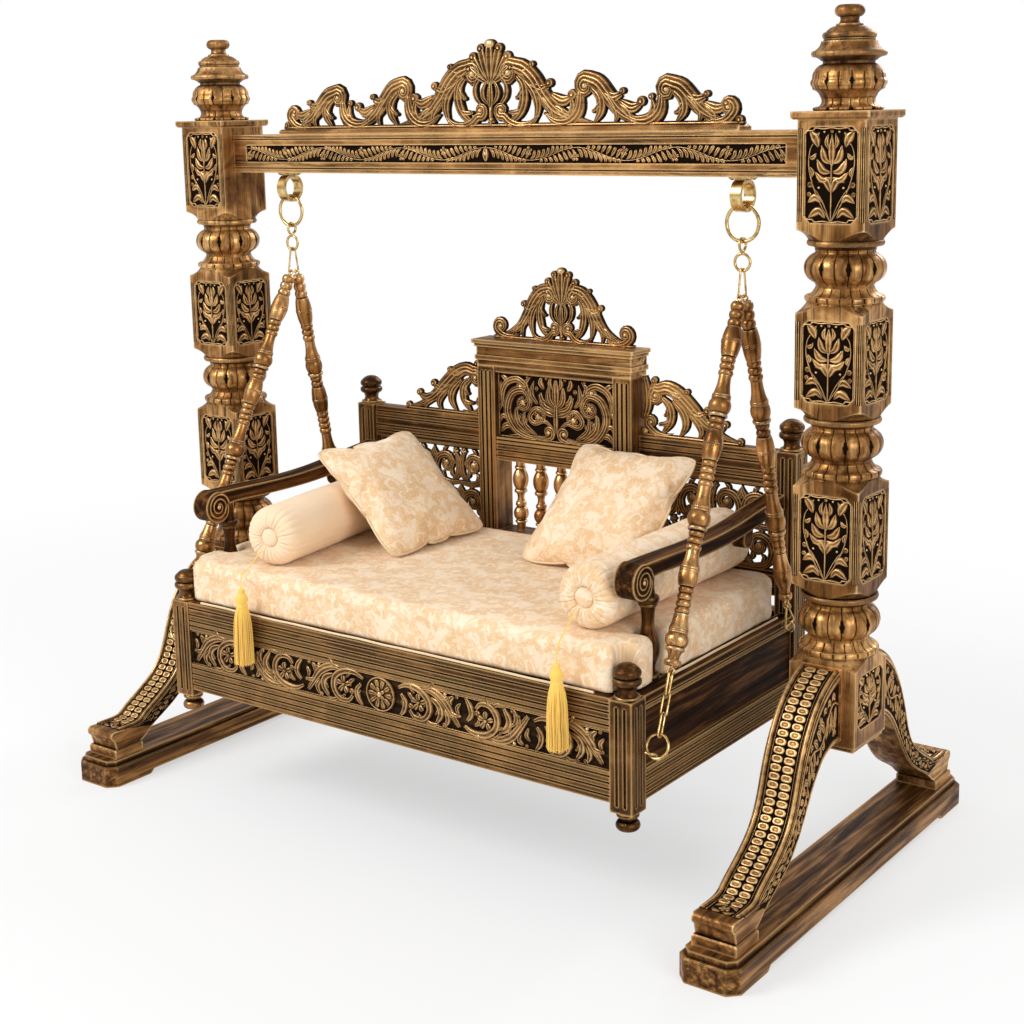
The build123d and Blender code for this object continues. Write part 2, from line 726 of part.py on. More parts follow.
# ---------------------------------------------------------------- seat box
def fluted_post(x, y, low, high, knob_hole, foot_hole):
    """A square corner post with two flutes down each face."""
    half = corner_side / 2
    post = block((-half, half), (-half, half), (low, high))
    for turn in (0, 90, 180, 270):
        for offset in (-11, 11):
            flute = block((offset - 4, offset + 4), (-half - 1, -half + 4), (low + 16, high - 16))
            post -= Rot(0, 0, turn) * flute
    if knob_hole:
        post -= Pos(0, 0, high) * Cylinder(knob_dowel + pin_gap, 2 * (dowel_long + fit_gap))
    if foot_hole:
        post -= Pos(0, 0, low) * Cylinder(knob_dowel + pin_gap, 2 * (dowel_long + fit_gap))
    return Pos(x, y, 0) * post


dowel_long = 22.0
corner_x = seat_half - corner_side / 2
front_corner_y = seat_front + corner_side / 2
rear_corner_y = seat_back - corner_side / 2


def front_shank():
    centre_x = front_loop_x - front_loop
    return cylinder_between((centre_x - front_loop, front_eye_y, front_eye_z),
                            (seat_half - corner_side * 0.7, front_eye_y, front_eye_z), front_wire)


def front_shank_hole():
    return cylinder_between((seat_half + 1, front_eye_y, front_eye_z),
                            (seat_half - corner_side * 0.7 - fit_gap, front_eye_y, front_eye_z),
                            front_wire + pin_gap)


front_corner = fluted_post(corner_x, front_corner_y, front_corner_bottom, rail_top, True, True)
front_corner -= front_shank_hole()
rear_corner = fluted_post(corner_x, rear_corner_y, front_corner_bottom, rear_corner_top, True, True)
save("corner_post_front_right", front_corner)
save("corner_post_front_left", mirror_x(front_corner))
save("corner_post_rear_right", rear_corner)
save("corner_post_rear_left", mirror_x(rear_corner))

knob_steps = [(dowel_long, knob_dowel, None, knob_dowel), (8, 28, 31, 28), (24, 24, 21, 27),
              (17, 29, 34, 30), (4, 26, None, 26), (17, 30, 33, 29), (13, 28, 22, 4)]
foot_steps = [(24, 18, 29, 20), (8, 17, 15, 18), (10, 23, 27, 24), (4, 26, None, 26),
              (dowel_long, knob_dowel, None, knob_dowel)]
knobs = []
feet = []
for y, top in ((front_corner_y, rail_top), (rear_corner_y, rear_corner_top)):
    knobs += both_sides(Pos(corner_x, y, 0) * lathe(knob_steps, top - dowel_long))
    feet += both_sides(Pos(corner_x, y, 0) * lathe(foot_steps, front_corner_bottom - foot_height))
save("corner_knobs", *knobs)
save("corner_feet", *feet)

rail_half = seat_half - corner_side
side_low = seat_front + corner_side
side_high = seat_back - corner_side


def reeded(rail, axis_cutters):
    for cutter in axis_cutters:
        rail -= cutter
    return rail


def front_rail(low, high, reeds):
    face = seat_front + rail_setback
    rail = block((-rail_half, rail_half), (face, face + rail_thick), (low, high))
    cutters = []
    for z in reeds:
        cutters.append(block((-rail_half - 1, rail_half + 1), (face - 1, face + 4), (z - 2.5, z + 2.5)))
    return reeded(rail, cutters)


front_rail_low = rail_top - front_top_rail
top_reeds = [front_rail_low + share * front_top_rail for share in (0.16, 0.34, 0.56, 0.8)]
low_height = low_rail_top - low_rail_bottom
low_reeds = [low_rail_bottom + share * low_height for share in (0.2, 0.42, 0.62, 0.84)]
save("front_rails", front_rail(front_rail_low, rail_top, top_reeds),
     front_rail(low_rail_bottom, low_rail_top, low_reeds))

panel_face = seat_front + front_panel_setback
front_panel = block((-rail_half, rail_half), (panel_face, panel_face + front_panel_thick),
                    (low_rail_top, front_rail_low))
save("front_panel", front_panel)


def side_rail_bar(low, high, reeds):
    face = seat_half - rail_setback
    rail = block((face - rail_thick, face), (side_low, side_high), (low, high))
    cutters = []
    for z in reeds:
        cutters.append(block((face - 4, face + 1), (side_low - 1, side_high + 1), (z - 2.5, z + 2.5)))
    return reeded(rail, cutters)


side_rail_low = rail_top - side_top_rail
rear_shank_end = seat_half - rail_setback - rail_thick * 0.8
rear_hole = cylinder_between((seat_half, rear_eye_y, rear_eye_z),
                             (rear_shank_end - fit_gap, rear_eye_y, rear_eye_z), rear_wire + pin_gap)
side_top = side_rail_bar(side_rail_low, rail_top, [side_rail_low + 12]) - rear_hole
side_low_bar = side_rail_bar(low_rail_bottom, low_rail_top, low_reeds)
save("side_rails", *both_sides(side_top), *both_sides(side_low_bar))

side_face = seat_half - side_panel_setback
side_panel = block((side_face - side_panel_thick, side_face), (side_low, side_high),
                   (low_rail_top, side_rail_low))
save("side_panel_right", side_panel)
save("side_panel_left", mirror_x(side_panel))

rear_rail_front = rear_corner_y - rail_thick / 2
rear_rail = block((-rail_half, rail_half), (rear_rail_front, rear_rail_front + rail_thick),
                  (low_rail_bottom, rail_top))
save("rear_rail", rear_rail)

slat_front = seat_front + rail_setback + rail_thick
slat_back = rear_rail_front
slat_span = 2 * rail_half
slat_width = (slat_span - (slat_count + 1) * slat_gap) / slat_count
slats = []
for index in range(slat_count):
    left = -slat_span / 2 + slat_gap + index * (slat_width + slat_gap)
    slats.append(block((left, left + slat_width), (slat_front, slat_back),
                       (rail_top - slat_thick, rail_top)))
for y in (slat_front, slat_back - cleat):
    slats.append(block((-rail_half, rail_half), (y, y + cleat),
                       (rail_top - slat_thick - cleat, rail_top - slat_thick)))
save("seat_slats", *slats)


def build_seat_eyes():
    loop_centre = (front_loop_x - front_loop, front_eye_y, front_eye_z)
    front = ring_at(loop_centre, Vector(1, 0, 0).cross(front_side), front_loop, front_wire)
    front += front_shank()
    rear = ring_at((rear_loop_x, rear_eye_y, rear_eye_z), (0, 1, 0), rear_loop, rear_wire)
    rear += cylinder_between((rear_loop_x - rear_loop, rear_eye_y, rear_eye_z),
                             (rear_shank_end, rear_eye_y, rear_eye_z), rear_wire)
    return both_sides(front) + both_sides(rear)


save("seat_eyes", *build_seat_eyes())

# ---------------------------------------------------------------- back
stile_inner = stile_outer - stile_width
back_rear = back_face + back_thick


def build_stile():
    stile = block((stile_inner, stile_outer), (centre_face, back_rear), (rail_top, stile_top))
    for offset in (15, 30, 45):
        x = stile_inner + offset
        stile -= block((x - 3.5, x + 3.5), (centre_face - 1, centre_face + 5),
                       (rail_top + 60, stile_top - 14))
    return stile


save("back_stiles", *both_sides(build_stile()))


def build_cornice():
    """A stepped moulding across the stiles' tops."""
    lip = cornice_top - 11.0
    fillet_foot = lip - 10.0
    layers = ((stile_top, stile_top + 17.0, 0.0), (stile_top + 17.0, stile_top + 31.0, 5.0),
              (stile_top + 31.0, fillet_foot, 1.0), (fillet_foot, lip, 6.0),
              (lip, cornice_top, 12.0))
    cornice = None
    for low, high, step in layers:
        layer = block((-stile_outer - step, stile_outer + step),
                      (centre_face - step, back_rear + min(step, 3.0)), (low, high))
        cornice = layer if cornice is None else cornice + layer
    return cornice


save("back_cornice", build_cornice())


def back_bar(x0, x1, face, low, high, grooves):
    bar = block((x0, x1), (face, back_rear), (low, high))
    for share in grooves:
        z = low + share * (high - low)
        bar -= block((x0 - 1, x1 + 1), (face - 1, face + 4), (z - 2.5, z + 2.5))
    return bar


upper_side = back_bar(stile_outer, rail_half, back_face, *side_rail, (0.18, 0.36, 0.64, 0.82))
lower_side = back_bar(stile_outer, rail_half, back_face, *side_low_rail, (0.5,))
centre_top = back_bar(-stile_inner, stile_inner, centre_face + 6, panel_top, stile_top, ())
centre_mid = back_bar(-stile_inner, stile_inner, centre_face + 4, mid_rail_bottom, panel_bottom,
                      (0.2, 0.45, 0.7, 0.88))
centre_low = back_bar(-stile_inner, stile_inner, centre_face + 4, *low_centre_rail, (0.3, 0.6))
save("back_rails", *both_sides(upper_side), *both_sides(lower_side), centre_top, centre_mid,
     centre_low)

panel_y = centre_face + 22
back_panel = block((-stile_inner, stile_inner), (panel_y, panel_y + back_panel_thick),
                   (panel_bottom, panel_top))
save("back_panel", back_panel)

spindle_height = mid_rail_bottom - low_centre_rail[1]
spindle_steps = [(22, 13, None, 13), (8, 15, 18, 15), (40, 12, 22, 12), (16, 12, 16, 12),
                 (26, 12, 10, 14), (10, 17, 19, 17), (60, 14, 23, 12), (8, 15, 17, 15),
                 (19, 13, None, 13)]
spindle_y = (centre_face + 4 + back_rear) / 2
spindle_unit = spindle_height / sum(step[0] for step in spindle_steps)
spindle = lathe([(height * spindle_unit, low, belly, high)
                 for height, low, belly, high in spindle_steps], low_centre_rail[1])
spindles = []
for index in range(spindle_count):
    x = (index - (spindle_count - 1) / 2) * spindle_pitch
    spindles.append(Pos(x, spindle_y, 0) * spindle)
save("back_spindles", *spindles)

fret_y = back_face + (back_thick - fret_thick) / 2


def build_fret():
    """A pierced board under the side rail: rings and bosses joined to a narrow border."""
    low = side_low_rail[1]
    high = side_rail[0]
    wide = rail_half - stile_outer
    tall = high - low
    outer = Rectangle(wide, tall) - Rectangle(wide - 28, tall - 24)
    scrolls = []
    columns = 4
    pitch = (wide - 28) / columns
    radius = pitch / 2 + 4
    for column in range(columns):
        x = -wide / 2 + 14 + pitch * (column + 0.5)
        for z in (-tall / 2 + radius + 4, tall / 2 - radius - 4):
            scrolls.append(Pos(x, z) * (Circle(radius) - Circle(radius - 15)))
            scrolls.append(Pos(x, z) * Circle(14))
            lean = 40 if (column % 2 == 0) == (z > 0) else -40
            scrolls.append(Pos(x, z) * Rot(0, 0, lean) * Rectangle(12, 2 * radius - 6))
    inside = Rectangle(wide - 2, tall - 2)
    face = outer
    for scroll in scrolls:
        face = face + (scroll & inside)
    centre = Pos(stile_outer + wide / 2, (low + high) / 2)
    sketch = Plane.XZ * centre * face
    return Pos(0, fret_y + fret_thick, 0) * extrude(sketch, fret_thick)


save("fret_panels", *both_sides(build_fret()))

side_crest_arcs = [
    ((300, 1163), (334, 1154)), ((368, 1152), (390, 1124)), ((420, 1112), (446, 1078)),
    ((472, 1078), (490, 1056)), ((520, 1052), (542, 1024)), ((570, 1020), (580, 998)),
]
side_crest_holes = [
    (302, 1108, 10, 24, 0), (338, 1086, 12, 26, -25), (318, 1028, 20, 12, 0),
    (382, 1048, 13, 24, -40), (434, 1026, 22, 11, 10), (498, 1016, 16, 9, 15),
]
side_crest_drawn = (262.0, 988.0)    # the inner foot at which the outline is drawn
side_crest_high = 160.0
crest_y = back_face + 6
crest_board = 26.0


def build_side_crest():
    move = {"shift": stile_outer - side_crest_drawn[0], "rise": side_rail[1] - side_crest_drawn[1]}
    start = (stile_outer, side_rail[1] + side_crest_high)
    edges, last = arc_outline(start, fitted_arcs(side_crest_arcs, **move))
    edges.append(Line(last, (last[0], side_rail[1])))
    edges.append(Line((last[0], side_rail[1]), (stile_outer, side_rail[1])))
    edges.append(Line((stile_outer, side_rail[1]), start))
    slab = Pos(0, crest_y + crest_board, 0) * extrude(Plane.XZ * make_face(edges), crest_board)
    for x, z, wide, tall, lean in fitted(side_crest_holes, **move):
        oval = Plane.XZ * Pos(x, z) * Rot(0, 0, lean) * Ellipse(wide, tall)
        slab -= Pos(0, crest_y, 0) * extrude(oval, 2 * crest_board, both=True)
    return slab


save("side_crests", *both_sides(build_side_crest()))

centre_crest_arcs = [
    ((26, 1430), (40, 1402)), ((70, 1406), (80, 1374)), ((110, 1366), (124, 1334)),
    ((158, 1330), (170, 1298)), ((204, 1294), (218, 1258)), ((238, 1254), (240, 1236)),
]
centre_crest_holes = [
    (34, 1358, 10, 24, -12), (40, 1288, 14, 24, 14), (84, 1316, 12, 24, -32), (96, 1258, 20, 11, 0),
    (138, 1288, 12, 18, -40), (158, 1252, 18, 9, 0), (200, 1250, 10, 8, 0),
]
centre_crest_drawn = (262.0, 1225.0)    # the cornice's end and top at which it is drawn
centre_fit = {"share": stile_outer / centre_crest_drawn[0],
              "rise": cornice_top - centre_crest_drawn[1]}
centre_tip = fitted([(0, 1436)], **centre_fit)[0]
centre_crest = symmetric_plate(centre_tip, fitted_arcs(centre_crest_arcs, **centre_fit), crest_y,
                               crest_board, cornice_top)
centre_crest = pierce(centre_crest, fitted(centre_crest_holes, **centre_fit),
                      crest_y + crest_board / 2, crest_board)
save("centre_crest", centre_crest)


# ---------------------------------------------------------------- arms
def build_arm():
    """A swept armrest that curls down into a volute over its support."""
    edges = [
        Spline((side_high, 880), (157, 868), (49, 855), (-105, 846), (-298, 850), (-400, 852),
               tangents=((-1, -0.12), (-1, 0.0))),
        ThreePointArc((-400, 852), (-456, 812), (-413, 769)),
        ThreePointArc((-413, 769), (-376, 790), (-378, 814)),
        Line((-378, 814), (-330, 816)),
        Spline((-330, 816), (-105, 811), (49, 818), (157, 830), (side_high, 840),
               tangents=((1, -0.04), (1, 0.1))),
        Line((side_high, 840), (side_high, 880)),
    ]
    side = Plane.YZ * make_face(edges)
    arm = Pos(arm_inner, 0, 0) * extrude(side, arm_outer - arm_inner)
    scroll = Pos((arm_inner + arm_outer) / 2, 96, 800) * Rot(0, 90, 0) * Cylinder(
        24, arm_outer - arm_inner - 16)
    neck = block((arm_inner + 8, arm_outer - 8), (84, 118), (800, 832))
    return arm + scroll + neck


arm = build_arm()
save("arm_right", arm)
save("arm_left", mirror_x(arm))

arm_x = (arm_inner + arm_outer) / 2
arm_underside = 814.6
support_steps = [(14, 24, 27, 24), (34, 18, 17, 22), (60, 23, 28, 19), (68, 19, 15, 19),
                 (8, 21, 23, 21), (16, 24, 27, 24), (51, 18, 15, 17)]
support_unit = (arm_underside - 0.5 - rail_top) / sum(step[0] for step in support_steps)
support = lathe([(height * support_unit, low, belly, high)
                 for height, low, belly, high in support_steps], rail_top)
arm_supports = both_sides(Pos(arm_x, arm_support_y, 0) * support)
save("arm_supports", *arm_supports)


# ---------------------------------------------------------------- soft goods
def build_mattress():
    """The seat mattress, notched round the corner knobs and the arm supports."""
    bottom = rail_top + fit_gap
    pad = block((-mattress_half, mattress_half), (mattress_front, mattress_back),
                (bottom, mattress_top))
    pad = fillet(pad.edges().filter_by(Axis.Z), mattress_corner)
    pad = fillet(pad.edges().group_by(Axis.Z)[-1], 24)
    pad = fillet(pad.edges().group_by(Axis.Z)[0], 10)
    knob_notch = Pos(corner_x, front_corner_y, mattress_top) * Cylinder(36, 300)
    support_notch = block((arm_x - 31, mattress_half + 10),
                          (arm_support_y - 31, arm_support_y + 31), (bottom - 10, mattress_top + 10))
    support_notch = fillet(support_notch.edges().filter_by(Axis.Z), 14)
    for tool in (knob_notch, support_notch):
        pad = pad - tool - mirror_x(tool)
    return pad


save("mattress", build_mattress())

bolster_z = mattress_top + fit_gap + bolster_radius


def build_bolster(start, yaw):
    """A round bolster lying on the mattress, its front end's centre at start, turned by yaw."""
    roll = Cylinder(bolster_radius, bolster_length, align=(Align.CENTER, Align.CENTER, Align.MIN))
    roll = fillet(roll.edges(), 22)
    return Pos(*start, bolster_z) * Rot(0, 0, yaw) * Rot(-90, 0, 0) * roll


bolster_right_front = (arm_inner - bolster_radius - 6.0, -455.0)
bolster_left_front = (-arm_inner + 220.0, -450.0)
bolster_left_yaw = 8.3
save("bolster_right", build_bolster(bolster_right_front, 0))
save("bolster_left", build_bolster(bolster_left_front, bolster_left_yaw))


def build_cushion(centre, yaw, lean):
    """A square scatter cushion, thin at its edges, leaning back by lean degrees."""
    half = cushion_side / 2

    def lens():
        front = ThreePointArc((-half, cushion_edge), (0, cushion_half_thick), (half, cushion_edge))
        back = ThreePointArc((half, -cushion_edge), (0, -cushion_half_thick), (-half, -cushion_edge))
        outline = make_face([front, Line((half, cushion_edge), (half, -cushion_edge)), back,
                             Line((-half, -cushion_edge), (-half, cushion_edge))])
        return extrude(outline, half, both=True)

    pillow = lens() & (Rot(0, 90, 0) * lens())
    return Pos(*centre) * Rot(0, 0, yaw) * Rot(-lean, 0, 0) * pillow


cushion_right_place = ((arm_inner - 372.0, 95.6, mattress_top + 142.9), -3.0, 46.0)
cushion_left_place = ((-arm_inner + 315.0, -8.0, mattress_top + 136.9), 87.0, 48.5)
save("cushion_right", build_cushion(*cushion_right_place))
save("cushion_left", build_cushion(*cushion_left_place))

# ---------------------------------------------------------------- tassels
tassel_radius = 28.0
tassel_y = seat_front + rail_setback - tassel_radius - fit_gap
tassel_left = (bolster_left_front[0] - 10.0, 648.0)
tassel_right = (bolster_right_front[0] - 10.0, 632.0)
tassel_steps = [(0.745 * tassel_length, tassel_radius, 24, 15), (5, 16, 18, 16),
                (28, 13, 17, 12), (8, 9, 10, 8)]


def build_tassel(x, top):
    unit = tassel_length / sum(step[0] for step in tassel_steps)
    solid = lathe([(height * unit, low, belly, high) for height, low, belly, high in tassel_steps],
                  top - tassel_length)
    return Pos(x, tassel_y, 0) * solid


def build_cord(front, yaw, start_x, x, top):
    """The cord from a bolster's end over the mattress edge to its tassel, on (x, top)."""
    start_y = front[1] + (start_x - front[0]) * tan(radians(yaw))
    route = [(start_x, start_y, mattress_top + 44), (start_x, start_y - 14, mattress_top + 43),
             (start_x * 0.7 + x * 0.3, start_y - 32, mattress_top + 28),
             (start_x * 0.4 + x * 0.6, start_y - 58, mattress_top + 12),
             (x, tassel_y + 6, top + 38), (x, tassel_y, top + 18), (x, tassel_y, top)]
    points = [Vector(*point) for point in route]
    radii = []
    for before, here, after in zip(points, points[1:], points[2:]):
        turn = (here - before).get_angle(after - here)
        shorter = min((here - before).length, (after - here).length)
        radii.append(0.45 * shorter / tan(radians(turn) / 2))
    path = FilletPolyline(*points, radius=radii)
    print("cord length", round(path.length, 1))
    return sweep(Plane(path @ 0, z_dir=path % 0) * Circle(tassel_cord), path=path)


save("tassels", build_tassel(*tassel_left), build_tassel(*tassel_right))
save("tassel_cords",
     build_cord(bolster_left_front, bolster_left_yaw, bolster_left_front[0] - 18, *tassel_left),
     build_cord(bolster_right_front, 0, bolster_right_front[0] - 16, *tassel_right))
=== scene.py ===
"""Jhoola swing: the looks of its carved stand, hangers, seat, cushions and tassels."""

import json
from math import atan2, cos, hypot, pi, radians, sin

import bpy
import numpy as np
from mathutils import Matrix, Vector, noise
from mathutils.bvhtree import BVHTree


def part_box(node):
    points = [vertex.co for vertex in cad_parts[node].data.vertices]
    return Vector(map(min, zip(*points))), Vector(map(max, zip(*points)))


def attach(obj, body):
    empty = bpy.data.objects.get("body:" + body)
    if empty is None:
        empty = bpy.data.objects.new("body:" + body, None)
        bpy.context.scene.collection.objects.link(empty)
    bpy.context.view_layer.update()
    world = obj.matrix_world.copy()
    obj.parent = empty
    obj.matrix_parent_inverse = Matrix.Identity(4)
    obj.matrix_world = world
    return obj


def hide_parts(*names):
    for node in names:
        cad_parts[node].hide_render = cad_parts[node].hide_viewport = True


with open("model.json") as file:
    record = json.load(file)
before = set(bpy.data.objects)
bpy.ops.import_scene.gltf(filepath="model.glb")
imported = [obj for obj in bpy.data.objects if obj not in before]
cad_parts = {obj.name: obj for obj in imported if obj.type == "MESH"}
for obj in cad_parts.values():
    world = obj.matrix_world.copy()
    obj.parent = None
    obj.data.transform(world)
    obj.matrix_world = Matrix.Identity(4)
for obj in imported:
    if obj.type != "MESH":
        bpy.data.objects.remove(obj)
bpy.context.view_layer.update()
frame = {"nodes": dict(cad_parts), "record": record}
nodes = frame["nodes"]
bodies = frame["record"]["behaviour"]["bodies"]
body_of_node = {node: body for body, members in bodies.items() for node in members}
MM = 0.001


# ---------------------------------------------------------------- camera and studio
def camera(place, azimuth, pitch, roll, lens, shift_y):
    """A camera at place that looks along azimuth from +Y, pitched down, all in degrees."""
    azimuth, pitch, roll = radians(azimuth), radians(pitch), radians(roll)
    forward = Vector((-sin(azimuth) * cos(pitch), cos(azimuth) * cos(pitch), -sin(pitch)))
    level = Vector((cos(azimuth), sin(azimuth), 0))
    over = level.cross(forward)
    right = level * cos(roll) + over * sin(roll)
    up = over * cos(roll) - level * sin(roll)
    turn = Matrix((right, up, -forward)).transposed().to_4x4()
    data = bpy.data.cameras.new("camera")
    data.lens = lens
    data.sensor_width = 36
    data.shift_y = shift_y
    data.clip_end = 60
    seen_by = bpy.data.objects.new("camera", data)
    seen_by.matrix_world = Matrix.Translation(place) @ turn
    bpy.context.scene.collection.objects.link(seen_by)
    bpy.context.scene.camera = seen_by


camera((2.6577, -3.5103, 1.8730), 36.681, 10.913, -1.118, 58.66, -0.0801)


def lamp(name, place, aim, size, power, colour=(1.0, 1.0, 1.0)):
    data = bpy.data.lights.new(name, "AREA")
    data.shape = "DISK"
    data.size = size
    data.energy = power
    data.color = colour
    lit = bpy.data.objects.new(name, data)
    lit.location = place
    lit.rotation_euler = (Vector(aim) - Vector(place)).to_track_quat("-Z", "Y").to_euler()
    bpy.context.scene.collection.objects.link(lit)


lamp("key", (-2.6, -4.2, 4.6), (0, 0, 1.0), 2.6, 210)
lamp("fill", (5.2, -2.2, 2.6), (0, 0, 1.0), 3.0, 95)
lamp("back", (0.6, 4.6, 3.8), (0, 0, 1.0), 3.0, 95)

scene = bpy.context.scene
scene.view_settings.view_transform = "Standard"


def srgb(red, green, blue):
    """A colour as the eye sees it, 0 to 255, as linear light."""
    return tuple(((c / 255 + 0.055) / 1.055) ** 2.4 if c > 10 else c / 3295
                 for c in (red, green, blue)) + (1.0,)


# ---------------------------------------------------------------- material nodes
class Shade:
    """One material, built from short calls that each return an output socket."""

    def __init__(self, name):
        self.material = bpy.data.materials.new(name)
        self.material.use_nodes = True
        self.tree = self.material.node_tree
        self.tree.nodes.clear()

    def add(self, kind, inputs=(), **settings):
        node = self.tree.nodes.new(kind)
        for key, value in settings.items():
            setattr(node, key, value)
        for key, value in dict(inputs).items():
            self.put(node.inputs[key], value)
        return node

    def put(self, socket, value):
        if isinstance(value, bpy.types.NodeSocket):
            self.tree.links.new(value, socket)
        else:
            socket.default_value = value

    def math(self, operation, *values, clamp=False):
        node = self.add("ShaderNodeMath", operation=operation, use_clamp=clamp)
        for index, value in enumerate(values):
            self.put(node.inputs[index], value)
        return node.outputs[0]

    def place(self):
        return self.add("ShaderNodeTexCoord").outputs["Object"]

    def attribute(self, name):
        return self.add("ShaderNodeAttribute", attribute_name=name)

    def stretch(self, vector, scale, turn=(0, 0, 0)):
        return self.add("ShaderNodeMapping", {"Vector": vector, "Scale": scale,
                                              "Rotation": turn}).outputs[0]

    def noise(self, vector, scale, detail=3.0, rough=0.55, bend=0.0):
        return self.add("ShaderNodeTexNoise", {
            "Vector": vector, "Scale": scale, "Detail": detail, "Roughness": rough,
            "Distortion": bend}).outputs["Fac"]

    def span(self, value, low, high, to_low=0.0, to_high=1.0):
        """value from low..high spread over to_low..to_high, and held there outside."""
        return self.add("ShaderNodeMapRange", {0: value, 1: low, 2: high, 3: to_low, 4: to_high},
                        interpolation_type="SMOOTHSTEP").outputs[0]

    def ramp(self, value, stops):
        node = self.add("ShaderNodeValToRGB", {"Fac": value})
        points = node.color_ramp.elements
        while len(points) < len(stops):
            points.new(0.5)
        for point, (position, colour) in zip(points, stops):
            point.position = position
            point.color = colour
        return node.outputs["Color"]

    def mix(self, share, first, second, blend="MIX"):
        node = self.add("ShaderNodeMix", data_type="RGBA", blend_type=blend)
        self.put(node.inputs["Factor"], share)
        self.put(node.inputs[6], first)
        self.put(node.inputs[7], second)
        return node.outputs[2]

    def bump(self, height, strength, distance, under=None):
        inputs = {"Height": height, "Strength": strength, "Distance": distance}
        if under is not None:
            inputs["Normal"] = under
        return self.add("ShaderNodeBump", inputs).outputs[0]

    def occlusion(self, distance, inside=False):
        return self.add("ShaderNodeAmbientOcclusion", {"Distance": distance}, samples=6,
                        inside=inside, only_local=True).outputs["AO"]

    def finish(self, colour, roughness, normal=None, metallic=0.0, sheen=0.0, specular=0.5):
        shader = self.add("ShaderNodeBsdfPrincipled", {
            "Base Color": colour, "Roughness": roughness, "Metallic": metallic,
            "Sheen Weight": sheen, "Sheen Roughness": 0.5, "Specular IOR Level": specular})
        if normal is not None:
            self.put(shader.inputs["Normal"], normal)
        out = self.add("ShaderNodeOutputMaterial")
        self.tree.links.new(shader.outputs[0], out.inputs[0])
        return self.material


GRAIN = {"x": (3.0, 55.0, 55.0), "y": (55.0, 3.0, 55.0), "z": (55.0, 55.0, 3.0)}


def wood(name, grain, tones, edge, stain_and_shade, metallic=0.7, gloss=0.36, carved=False, worn=0.5,
         cast=0.5, specular=0.12):
    """Antique bronzed wood: streaked tones, stains, painted shade in the hollows, and edges of rubbed
    gold with painted highlight.
    """
    s = Shade(name)
    here = s.place()
    along = s.stretch(here, GRAIN[grain])
    streak = s.noise(along, 1.0, 5, 0.62, 0.4)
    hair = s.noise(s.stretch(along, (4.0, 4.0, 4.0)), 1.6, 3, 0.6)
    patch = s.noise(here, 6.0, 4, 0.62, 0.6)
    tone = s.math("MULTIPLY_ADD", streak, cast, s.math("MULTIPLY", patch, 1 - cast))
    colour = s.ramp(tone, [(0.38, tones[0]), (0.5, tones[1]), (0.62, tones[2])])
    spots = s.noise(s.stretch(along, (1.6, 1.6, 1.6)), 0.45, 5, 0.75, 0.6)
    stain = s.math("MULTIPLY", s.span(spots, 0.5, 0.64), s.span(patch, 0.36, 0.52))
    colour = s.mix(s.math("MULTIPLY", stain, worn), colour, stain_and_shade)
    if carved:
        # Painted light: the carving's light tone paints shade low and highlight on the crests, and
        # occlusion paints shade in its hollows; streak noise breaks it up like rubbed wear.
        light_tone = s.attribute("light_tone").outputs["Fac"]
        shading_and_rub = s.math("ADD", light_tone, s.math("MULTIPLY_ADD", streak, 0.3, -0.15))
        colour = s.mix(s.span(shading_and_rub, 0.08, 0.55), stain_and_shade, colour)
        colour = s.mix(s.span(shading_and_rub, 0.62, 1.1), colour, edge)
        colour = s.mix(s.span(s.occlusion(0.018), 0.3, 0.9), stain_and_shade, colour)
        rough = s.span(shading_and_rub, 0.1, 0.9, 0.8, gloss)
    else:
        # Painted shade: occlusion darkens hollows and crevices towards the dark colour.
        hollow = s.span(s.occlusion(0.022), 0.42, 0.92)
        # Convex edges take the edge gold, partly rubbed gilt and partly painted highlight.
        rim = s.span(s.math("ADD", s.occlusion(0.008, inside=True),
                            s.math("MULTIPLY_ADD", streak, 0.4, -0.2)), 0.45, 0.86, 1.0, 0.0)
        colour = s.mix(hollow, stain_and_shade, colour)
        colour = s.mix(s.math("MULTIPLY", rim, 0.85), colour, edge)
        rough = s.span(streak, 0.3, 0.7, gloss + 0.16, gloss)
    pits = s.span(s.noise(here, 160.0, 2, 0.5), 0.3, 0.42)
    height = s.math("MULTIPLY_ADD", hair, 0.5, s.math("MULTIPLY", pits, 0.5))
    normal = s.bump(height, 0.4, 0.0014)
    return s.finish(colour, rough, normal, metallic, specular=specular)


BRONZE = (srgb(72, 42, 17), srgb(142, 97, 52), srgb(212, 163, 104))
BROWN = (srgb(34, 18, 7), srgb(88, 56, 28), srgb(164, 119, 70))
DARK_BROWN = (srgb(26, 12, 3), srgb(52, 28, 9), srgb(108, 68, 30))
SKID = (srgb(46, 24, 8), srgb(104, 68, 33), srgb(176, 127, 72))
GOLD = srgb(238, 200, 142)
OLD_GOLD = srgb(214, 172, 114)
# The darkest colours serve both for stains and for the painted shade in hollows and carved grounds.
SHADE_AND_STAIN = srgb(26, 15, 8)
UMBER = srgb(32, 16, 5)

